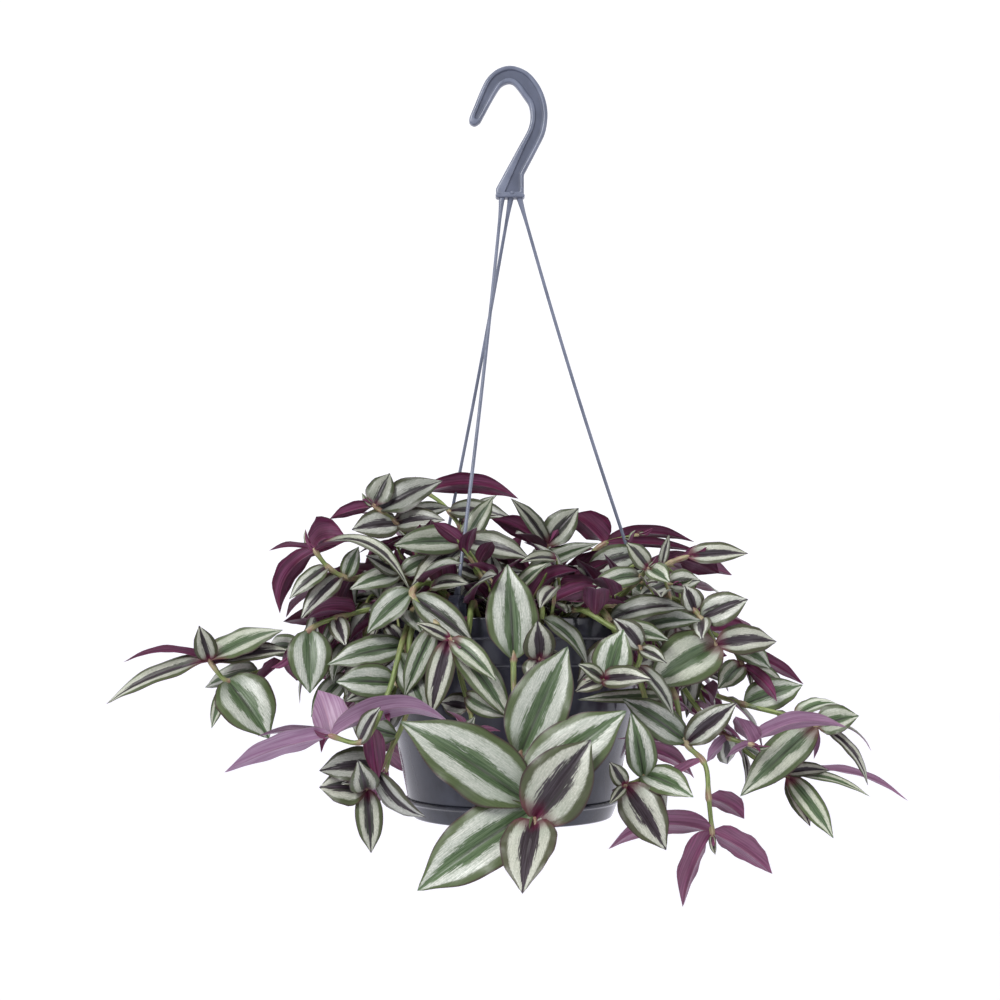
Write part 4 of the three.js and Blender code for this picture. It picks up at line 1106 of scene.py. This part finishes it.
def stem(course, joints, seed, girth=1.0):
    """A stem that swells at its joints, where each leaf's sheath is wrapped round it."""
    rings = int(course.length / stem_grain)
    part = np.linspace(0, 1, rings)
    at = part * course.length
    radius = stem_radius - stem_taper * part
    sheath = np.zeros(rings)
    for joint in joints:
        behind = joint * course.length - at
        sheath = np.maximum(sheath, np.where(
            behind > -0.8, 1 - ramp(behind, 0, sheath_length), ramp(behind, -2.2, -0.8)))
    radius = (radius + joint_swelling * sheath) * girth
    radius[-2:] *= (0.85, 0.45)
    points, faces = sweep(course.at(part), radius, stem_sides)
    side = np.tile(np.arange(stem_sides) * 1.0, rings)
    part, sheath, at = (np.repeat(values, stem_sides) for values in (part, sheath, at))
    marks = {
        "leaf": np.stack([part, sheath, side], axis=1),
        "spot": np.stack([at, side, np.full(len(side), seed)], axis=1),
        "mood": np.zeros((len(side), 3)),
    }
    return points, faces, [2] * len(faces), marks


def upper_face():
    """The markings of the upper face: silver bands, a green or dusky middle and margin."""
    finish = Finish("leaf_above")
    u, v, youth = finish.split("leaf")
    dusk, _, shade = finish.split("mood")
    spot = finish.mark("spot")
    a = abs(v)
    streaks = finish.noise(finish.stretch(spot, (0.05, 1.5, 1)), 1, 3, 0.65)
    threads = finish.noise(finish.stretch(spot, (0.12, 3.6, 1)), 1, 2, 0.6)
    patches = finish.noise(finish.stretch(spot, (0.1, 0.25, 1)), 1, 2)
    dashes = finish.noise(finish.stretch(spot, (0.32, 1.9, 1)), 1, 2, 0.6)
    speckle = finish.noise(finish.stretch(spot, (1.0, 1.8, 1)), 1, 2, 0.6)
    inner = (0.27 + 0.5 * (streaks - 0.5) + 0.25 * (patches - 0.5) + 0.2 * (dashes - 0.5)
             + 0.1 * (shade - 0.5) - 0.12 * finish.rise(u, 0.5, 0.95))
    outer = 0.72 + 0.14 * (patches - 0.5) + 0.2 * (dashes - 0.5)
    silver = finish.rise(a - inner, -0.03, 0.06) * (1 - finish.rise(a - outer, -0.06, 0.04))
    silver = silver * (0.3 + 0.7 * finish.rise(u, 0.03, 0.2))
    silver = silver * (1 - finish.rise(u, 0.93, 1.0))
    green = finish.mix(finish.rise(streaks, 0.35, 0.65), colour("3f5634"), colour("677c58"))
    green = finish.mix(0.5 * finish.rise(threads, 0.5, 0.7), green, colour("7b8d72"))
    dark = finish.mix(finish.rise(streaks, 0.4, 0.65), colour("2c2227"), colour("4c434a"))
    rib = 1 - finish.rise(a + 0.16 * (streaks - 0.5), 0.0, 0.15)
    rib = rib * (1 - finish.rise(u, 0.45, 0.95))
    middle = finish.mix(finish.rise(dusk + 0.45 * rib + 0.7 * (streaks - 0.5), 0.25, 0.85),
                        green, dark)
    margin_green = finish.mix(streaks, colour("424f30"), colour("69794f"))
    margin = finish.mix(0.55 * finish.rise(dusk + 0.5 * (patches - 0.5), 0.35, 1.0),
                        margin_green, colour("42302f"))
    margin = finish.mix(finish.rise(a, 0.9, 0.99), margin, colour("43332f"))
    plain = finish.mix(finish.rise(a, 0.42, 0.55), middle, margin)
    pale = finish.mix(finish.rise(threads, 0.35, 0.7), colour("b6beb0"), colour("e4e6da"))
    pale = finish.mix(0.7 * youth, pale, colour("c9cdac"))
    pale = finish.mix(0.3 * dusk, pale, colour("b3aaa8"))
    pale = finish.mix(0.45 * finish.rise(streaks, 0.52, 0.75), pale, colour("a0aa98"))
    pale = finish.mix(0.4 * finish.rise(speckle, 0.48, 0.7), pale, colour("8c9886"))
    pale = finish.mix(0.5 * (1 - finish.rise(speckle, 0.3, 0.44)), pale, colour("f3f4ec"))
    pale = finish.mix(0.4 * (1 - finish.rise(u, 0.1, 0.45)), pale, colour("8a9a86"))
    near_edge = finish.rise(a, 0.52, 0.74) + 0.7 * (1 - finish.rise(a - inner, 0.0, 0.12))
    pale = finish.mix(0.6 * near_edge * finish.rise(dashes, 0.5, 0.62), pale, plain)
    leaf = finish.mix(silver, plain, pale)
    throat = youth * (1 - finish.rise(u + 0.15 * (patches - 0.5), 0.06, 0.24))
    leaf = finish.mix(throat, leaf, colour("7a1745"))
    # painted shade: the upper face is darkened where the leaf's shade mark is low, most inside
    # the mound
    leaf = finish.node("HueSaturation", {}, {"Value": 0.49 + 0.56 * shade, "Color": leaf})
    relief = 0.8 * streaks + 0.35 * speckle + 0.5 * silver
    return finish.surface({
        "Base Color": leaf,
        "Roughness": 0.36 - 0.06 * silver + 0.2 * (speckle - 0.5),
        "Normal": finish.relief(relief, 0.12),
        "Specular IOR Level": 0.45,
        "Sheen Weight": 0.12,
        "Sheen Roughness": 0.4,
    })


def under_face():
    """The under face: wine purple with parallel veins, and a lit mauve of painted light and
    sheen on the leaves marked for it.
    """
    finish = Finish("leaf_below")
    u, v, _ = finish.split("leaf")
    _, painted_light, shade = finish.split("mood")
    spot = finish.mark("spot")
    a = abs(v)
    veins = finish.noise(finish.stretch(spot, (0.04, 1.3, 1)), 1, 3, 0.6)
    patches = finish.noise(finish.stretch(spot, (0.12, 0.25, 1)), 1, 2)
    wine = finish.mix(finish.rise(veins, 0.38, 0.66), colour("5a2140"), colour("863d67"))
    wine = finish.mix(0.45 * finish.rise(patches, 0.4, 0.7), wine, colour("6e1a3d"))
    # painted light and sheen: a lit mauve copy of the under face, mixed in by the leaf's painted
    # light
    mauve = finish.mix(finish.rise(veins, 0.3, 0.75), colour("8a6382"), colour("ad8fa8"))
    band = finish.rise(a, 0.2, 0.34) * (1 - finish.rise(a, 0.66, 0.8))
    wine = finish.mix(0.16 * band, wine, colour("a07c96"))
    leaf = finish.mix(finish.rise(painted_light + 0.3 * (patches - 0.5), 0.1, 0.95), wine, mauve)
    rib = (1 - finish.rise(a, 0.015, 0.05)) * (1 - finish.rise(u, 0.6, 1.0))
    leaf = finish.mix(0.4 * rib, leaf, colour("a8808c"))
    leaf = finish.mix(0.5 * finish.rise(a, 0.955, 0.99), leaf, colour("6d7a4a"))
    # painted shade: the under face is darkened where the leaf's shade mark is low, most inside
    # the mound
    leaf = finish.node("HueSaturation", {}, {"Value": 0.74 + 0.4 * shade, "Color": leaf})
    return finish.surface({
        "Base Color": leaf,
        "Roughness": 0.4 + 0.16 * (patches - 0.5),
        "Normal": finish.relief(veins, 0.16),
        "Specular IOR Level": 0.45,
        "Sheen Weight": 0.35,
        "Sheen Roughness": 0.35,
        "Sheen Tint": colour("d9b8dd"),
    })


def stem_finish():
    """Juicy pale green stems with purple streaks on the sheaths, corky brown near the soil."""
    finish = Finish("stem_skin")
    place, sheath, _ = finish.split("leaf")
    spot = finish.mark("spot")
    lines = finish.noise(finish.stretch(spot, (0.12, 0.9, 1)), 1, 3, 0.6)
    clouds = finish.noise(finish.stretch(spot, (0.09, 0.1, 1)), 1, 2)
    green = finish.mix(finish.rise(lines, 0.35, 0.65), colour("66783f"), colour("97a766"))
    flush = finish.mix(finish.rise(lines, 0.4, 0.6), colour("c9b894"), colour("8d4a5c"))
    skin = finish.mix(0.75 * sheath, green, flush)
    skin = finish.mix(0.5 * finish.rise(clouds, 0.55, 0.75), skin, colour("a2716c"))
    cork = finish.mix(lines, colour("4f3d28"), colour("8a7650"))
    skin = finish.mix(1 - finish.rise(place + 0.3 * (clouds - 0.5), 0.12, 0.34), skin, cork)
    return finish.surface({
        "Base Color": skin,
        "Roughness": 0.42 + 0.2 * (lines - 0.5),
        "Normal": finish.relief(lines, 0.25),
        "Specular IOR Level": 0.45,
    })


foliage = [upper_face(), under_face(), stem_finish()]
# How much painted light the under faces of these shoots get: their wine purple is painted over
# with a lit mauve.
painted_light_shoots = {"shoot_left_purple": 0.95, "shoot_right_purple": 0.7, "shoot_right_low": 0.4,
           "shoot_far_right": 0.6, "shoot_far_right_low": 0.5, "shoot_front": 0.6,
           "shoot_left_low": 0.5}
little_painted_light = 0.12
broad_leaf = 20
shoot_end = 0.965                     # the leaves past this place on a stem are its last
# painted shade: leaves whose bases are nearer the pot's axis than these distances are painted
# darker
shaded_to, lit_from = 72, 108         # distances from the pot's axis
bare_joints = {0.2, 0.34}             # joints near the soil, whose leaves are gone


def colouring(leaf, node, draw):
    """How young, dusky, mauve and pale a leaf is. The last leaves of a shoot are the youngest.
    Its shade is a random tone with painted shade on top: leaves nearer the pot's axis are
    painted darker, as the shade inside the mound, and those far out are the palest."""
    small = 1 - min(leaf["width"] / 16, 1)
    end = leaf["along"] > shoot_end
    leaf["youth"] = min(1, (0.5 if end else 0) + small * draw(0.2, 1.3))
    broad = leaf["width"] > broad_leaf and not end
    dusky = draw() < (0.05 if broad else 0.8 if end else 0.58)
    leaf["dusk"] = draw(0.6, 1) if dusky else draw(0, 0.25)
    # painted light: the share of lit mauve on the under face
    leaf["painted_light"] = painted_light_shoots.get(node, little_painted_light) * draw(0.7, 1.1)
    distance = np.linalg.norm(leaf["base"][:2])
    # painted shade: a random tone, darker for leaves nearer the pot's axis, inside the mound
    leaf["shade"] = draw(0, 0.5) + 0.5 * ramp(distance, shaded_to, lit_from)
    leaf["seed"] = draw(0, 400)


def buds(course, draw):
    """The rolled young leaves at the end of a stem."""
    ahead = course.heading(1.0)
    base = course.at(last_joint)
    turn = draw(0, 2 * math.pi)
    side = square_to(np.array([math.cos(turn), math.sin(turn), 0.6]), ahead)
    pair = []
    for hand, reach in ((1, draw(9, 13)), (-1, draw(6, 9))):
        heading = unit(ahead + side * hand * draw(0.25, 0.5))
        pair.append(dict(along=1, base=base, tip=base + heading * reach, width=reach * 0.5,
                         look=-side * hand, arch=0.12, fold=math.radians(52), twist=0.2,
                         youth=1, dusk=draw(0, 0.7), painted_light=0.1, shade=draw(0.4, 1),
                         seed=draw(0, 400)))
    return pair


def leafy_stems():
    """A piece for each solid shoot: its stem, its leaves and the buds at its end."""
    looks = Draw(7027)
    made = []
    for shoot in sprouted(grow_stems()):
        course, leaves = shoot["course"], shoot["leaves"]
        form = Form()
        for leaf in leaves:
            colouring(leaf, shoot["node"], looks)
            leaf["base"] = course.at(min(leaf["along"], last_joint))
        joints = sorted({leaf["along"] for leaf in leaves} | bare_joints)
        bodies = [stem(course, joints, looks(0, 400))]
        bodies += [blade(leaf, looks) for leaf in leaves + buds(course, looks)]
        for points, faces, finishes, marks in bodies:
            form.add(points, faces, finishes, **marks)
        shoot["bodies"] = [(points, faces) for points, faces, _, _ in bodies]
        piece = form.build(shoot["node"] + "_leafy", foliage, 60, outward=False)
        fit(piece, "foliage", shoot["node"])
        made.append(shoot)
    return made


stems = leafy_stems()


# ---- inner growth ----
# Between those stems the plant is full of younger growth. Leaves sit on the bare joints of
# the long stems, and sprigs stand in the same soil, fill the mound, lie out over the rim and
# hang below it. They leave the front of the pot open and keep clear of their neighbours.
low_path = [(58, -301), (67, -291), (79, -287), (89, -298), (93, -324), (99, -360)]
sprig_kinds = [
    dict(name="left_flank", count=24, first=148, sweep=90, length=(30, 42), look=(0.8, 0.6),
         droop=0.9, path=[(54, -302), (66, -286), (82, -276), (98, -284), (108, -304),
                          (112, -334)]),
    dict(name="right_flank", count=24, first=-72, sweep=92, length=(30, 42), look=(0.8, 0.6),
         droop=0.9, path=[(52, -302), (62, -284), (78, -272), (94, -276), (104, -294),
                          (110, -326)]),
    dict(name="left_side", count=14, first=158, sweep=54, length=(28, 38), look=(0.9, 0.5),
         droop=0.8, path=low_path),
    dict(name="right_side", count=14, first=-34, sweep=62, length=(28, 38), look=(0.9, 0.5),
         droop=0.8, path=low_path),
    dict(name="spreading", count=44, first=-64, sweep=308, length=(28, 40), look=(0.7, 0.8),
         droop=0.6, path=[(50, -302), (64, -289), (79, -281), (94, -284), (106, -294)]),
    dict(name="skirt", count=40, first=-60, sweep=300, length=(24, 36), look=(0.9, 0.6),
         droop=0.7, path=[(58, -300), (66, -294.5), (76, -293), (85, -301), (89, -325),
                          (95, -352)]),
    dict(name="mound", count=110, length=(25, 38), look=(0.6, 0.7), droop=0.5),
]
on_joints = dict(length=(28, 43), look=(0.9, 0.5), droop=0.8)
joint_spacing = 13
joint_room = 0.05                     # part of a stem that is kept free beside a leaf
heart = np.array([0, 0, -330.0])      # what the young growth spreads from
sprigs_a_piece = 22
stem_tries, leaf_tries = 40, 20
sprig_girth = 0.6
scatter = 0.55                        # how far the ways that leaves look are strewn
backs_turned = 0.3                    # share of the leaves that look to the back
# painted shade: the share by which the leaves of the inner growth are painted darker
inner_shade = 0.5
graze = 6                             # pairs of faces by which two leaves may just touch


class Crowd:
    """Everything that stands already, so that new growth keeps clear of it."""

    def __init__(self):
        self.trees, self.lows, self.highs = [], [], []

    def add(self, points, faces):
        self.trees.append(BVHTree.FromPolygons(points.tolist(), faces))
        self.lows.append(points.min(axis=0))
        self.highs.append(points.max(axis=0))

    def add_piece(self, name):
        mesh = bpy.data.objects[name].data
        points = np.zeros(len(mesh.vertices) * 3)
        mesh.vertices.foreach_get("co", points)
        self.add(points.reshape(-1, 3) / MM, [tuple(f.vertices) for f in mesh.polygons])

    def meets(self, points, faces, allowed=0, beside=None):
        """Whether a body crosses the others, apart from the one that it grows beside."""
        low, high = points.min(axis=0), points.max(axis=0)
        near = np.all((np.array(self.lows) <= high) & (np.array(self.highs) >= low), axis=1)
        near = [i for i in np.flatnonzero(near) if i != beside]
        if not near:
            return False
        tree = BVHTree.FromPolygons(points.tolist(), faces)
        return sum(len(tree.overlap(self.trees[i])) for i in near) > allowed


def mound_top(x, y):
    """How high the mound stands at a place, a little under its outermost leaves."""
    return -236 - 0.2 * max(x + 40, 0) - 0.12 * max(-40 - x, 0) - 0.0022 * (x * x + y * y)


def sprig_course(kind, i, draw):
    """The line of a sprig: somewhere in the mound, or along the path of its kind."""
    if "path" not in kind:
        radius, angle = 60 * math.sqrt(draw(0.02, 1)), draw(0, 360)
        foot, head = around(radius, angle), around(radius + draw(8, 34), angle + draw(-25, 25))
        top = soil_top + (mound_top(*head) - 6 - soil_top) * draw(0.35, 1)
        middle = foot * 0.6 + head * 0.4
        return stem_course(foot, [(*middle, soil_top + (top - soil_top) * 0.55), (*head, top)])
    angle = kind["first"] + kind["sweep"] * (i + draw(-0.5, 0.5)) / kind["count"]
    part, drift, lift = draw(0.3, 1), draw(-3, 3), draw(-6, 8)
    points, last = [], kind["path"][2]
    for k, (radius, height) in enumerate(kind["path"]):
        if k > 2:
            # past the rim, a sprig goes only part of the way
            radius, height = (old + (new - old) * part
                              for old, new in zip(last, (radius, height + lift)))
        points.append((*around(radius, angle + drift * k), height))
    return stem_course(around(kind["path"][0][0] - 3, angle), points)


def young_leaf(course, along, hand, kind, draw):
    """A leaf at a joint, with the places where its tip may lie."""
    base = course.at(min(along, last_joint))
    forward = course.heading(min(along, 1.0))
    outward = unit(base - heart)
    look = outward * kind["look"][0] + np.array([0, 0, kind["look"][1]])
    look = look + scatter * np.array([draw(-1, 1), draw(-1, 1), draw(-1, 1)])
    if draw() < backs_turned:
        look = look + (0, 1.3, 0.4)
    look = unit(look)
    side = unit(np.cross(look, forward)) * hand
    length = draw(*kind["length"]) * (1.1 - 0.3 * along)
    choices = []
    for _ in range(leaf_tries):
        heading = unit(forward * draw(-0.1, 0.9) + side * draw(0.3, 1.1)
                       + outward * draw(-0.1, 0.7)
                       + np.array([0, 0, draw(-kind["droop"], 0.25)]))
        choices.append(base + heading * length)
        length *= 0.975
    leaf = dict(along=along, base=base, look=look, choices=choices,
                width=length * draw(0.6, 0.78), arch=draw(0.06, 0.28),
                fold=math.radians(draw(8, 30)), twist=math.radians(draw(-18, 18)))
    colouring(leaf, "inner", draw)
    # painted shade: inner leaves are painted darker, as the shade they stand in
    leaf["shade"] *= inner_shade
    return leaf


def unfold(leaf, crowd, form, draw, beside=None):
    """Grows a leaf where it first finds room."""
    for tip in leaf["choices"]:
        if tip[2] > mound_top(tip[0], tip[1]):
            continue
        leaf["tip"] = tip
        points, faces, finishes, marks = blade(leaf, draw)
        if not crowd.meets(points, faces, graze, beside):
            form.add(points, faces, finishes, **marks)
            crowd.add(points, faces)
            return


def joint_leaves(shoot, stem_number, crowd, form, draw):
    """Leaves on the joints of a long stem that have none."""
    taken = [leaf["along"] for leaf in shoot["leaves"]]
    hand = 1
    for along in np.arange(0.34, 0.97, joint_spacing / shoot["course"].length):
        if min(abs(along - other) for other in taken) > joint_room:
            leaf = young_leaf(shoot["course"], along, hand, on_joints, draw)
            unfold(leaf, crowd, form, draw, stem_number)
        hand = -hand


def inner_growth():
    """Joint leaves and sprigs, each where it clears all that stands before it."""
    draw = Draw(90533)
    crowd = Crowd()
    for name in ("hanger_moulding", "pot_body", "saucer_dish"):
        crowd.add_piece(name)
    stem_numbers = []
    for shoot in stems:
        stem_numbers.append(len(crowd.trees))
        for points, faces in shoot["bodies"]:
            crowd.add(points, faces)
    forms = [Form()]
    for shoot, number in zip(stems, stem_numbers):
        joint_leaves(shoot, number, crowd, forms[0], draw)
    placed = 0
    for kind in sprig_kinds:
        for i in range(kind["count"]):
            for _ in range(stem_tries):
                course = sprig_course(kind, i, draw)
                joints = [draw(0.3, 0.5), draw(0.55, 0.7), draw(0.75, 0.9)]
                points, faces, finishes, marks = stem(course, joints, draw(0, 400), sprig_girth)
                if not crowd.meets(points, faces):
                    break
            else:
                continue
            if placed % sprigs_a_piece == 0:
                forms.append(Form())
            placed += 1
            forms[-1].add(points, faces, finishes, **marks)
            crowd.add(points, faces)
            own, count = len(crowd.trees) - 1, int(draw(4, 7.5))
            for j in range(count):
                along = 0.4 + 0.6 * (j + draw(-0.2, 0.2)) / (count - 1)
                leaf = young_leaf(course, along, (1, -1)[j % 2], kind, draw)
                unfold(leaf, crowd, forms[-1], draw, own)
    for number, form in enumerate(forms):
        name = f"inner_sprigs_{number}" if number else "joint_leaves"
        fit(form.build(name, foliage, 60, outward=False), "foliage")


inner_growth()

# ---- studio ----
# A pale seamless bowl stands round the plant and glows as the studio's ambient light, dimmer
# # at the front and painted a faint lilac shade low down, with soft boxes to the front of it and
# above.
# The camera is level with the pot's rim and tilted a little up.
bowl_radius, bowl_height, bowl_depth = 4.2, 4.5, 1.5
bowl_segments = 96


def studio():
    steps = np.linspace(0.02, 1, 32)
    profile = np.stack([bowl_radius * (1 - (1 - steps) ** 2.2),
                        bowl_height * steps ** 2.6 - bowl_depth], axis=1)
    points, faces = [], bands(len(profile), bowl_segments)
    for radius, height in profile:
        for j in range(bowl_segments):
            angle = 2 * math.pi * j / bowl_segments
            points.append((radius * math.cos(angle), radius * math.sin(angle), height))
    faces.append(tuple(reversed(range(bowl_segments))))
    mesh = bpy.data.meshes.new("studio_bowl")
    mesh.from_pydata(points, [], faces)
    mesh.shade_smooth()
    bowl = bpy.data.objects.new("studio_bowl", mesh)
    bpy.context.scene.collection.objects.link(bowl)
    finish = Finish("studio_paper")
    at = finish.place()
    height = finish.node("SeparateXYZ", {}, {0: at}, "Z")
    depth = finish.node("SeparateXYZ", {}, {0: at}, "Y")
    # painted shade: the bowl turns a faint lilac low down; it glows as the studio's light,
    # dimmer towards the front
    tone = finish.mix(finish.rise(height, -1.0, 1.0), colour("f3f1fb"), colour("ffffff"))
    glow = finish.mix(finish.rise(depth, -2.5, 1.5), colour("8c8c94"), tone)
    finish.surface({"Base Color": colour("b0b0b4"), "Roughness": 0.95, "Emission Color": glow,
                    "Emission Strength": 0.8, "Specular IOR Level": 0.0})
    mesh.materials.append(finish.material)


def soft_box(name, place, size, power, target=(0, 0, -0.28)):
    """A lamp with a face of this size, aimed at the foliage."""
    light = bpy.data.lights.new(name, "AREA")
    light.shape = "RECTANGLE"
    light.size, light.size_y = size
    light.energy = power
    lamp = bpy.data.objects.new(name, light)
    lamp.location = place
    aim = Vector(target) - Vector(place)
    lamp.rotation_euler = aim.to_track_quat("-Z", "Y").to_euler()
    bpy.context.scene.collection.objects.link(lamp)


studio()
soft_box("key", (-1.0, -1.7, 1.0), (0.8, 1.0), 40)
soft_box("fill", (1.5, -1.5, 0.2), (0.7, 1.4), 7)
soft_box("top", (0.1, 0.3, 1.5), (1.2, 1.2), 13)

world = bpy.data.worlds.new("studio_air")
world.use_nodes = True
world.node_tree.nodes["Background"].inputs["Color"].default_value = (1, 1, 1, 1)
world.node_tree.nodes["Background"].inputs["Strength"].default_value = 0.1
bpy.context.scene.world = world
bpy.context.scene.view_settings.view_transform = "Standard"

lens = bpy.data.cameras.new("camera")
lens.lens = 50.4
lens.sensor_width = 36
camera = bpy.data.objects.new("camera", lens)
camera.location = (-0.0065, -0.759, -0.3082)
camera.rotation_euler = (math.radians(95.55), 0, 0)
bpy.context.scene.collection.objects.link(camera)
bpy.context.scene.camera = camera
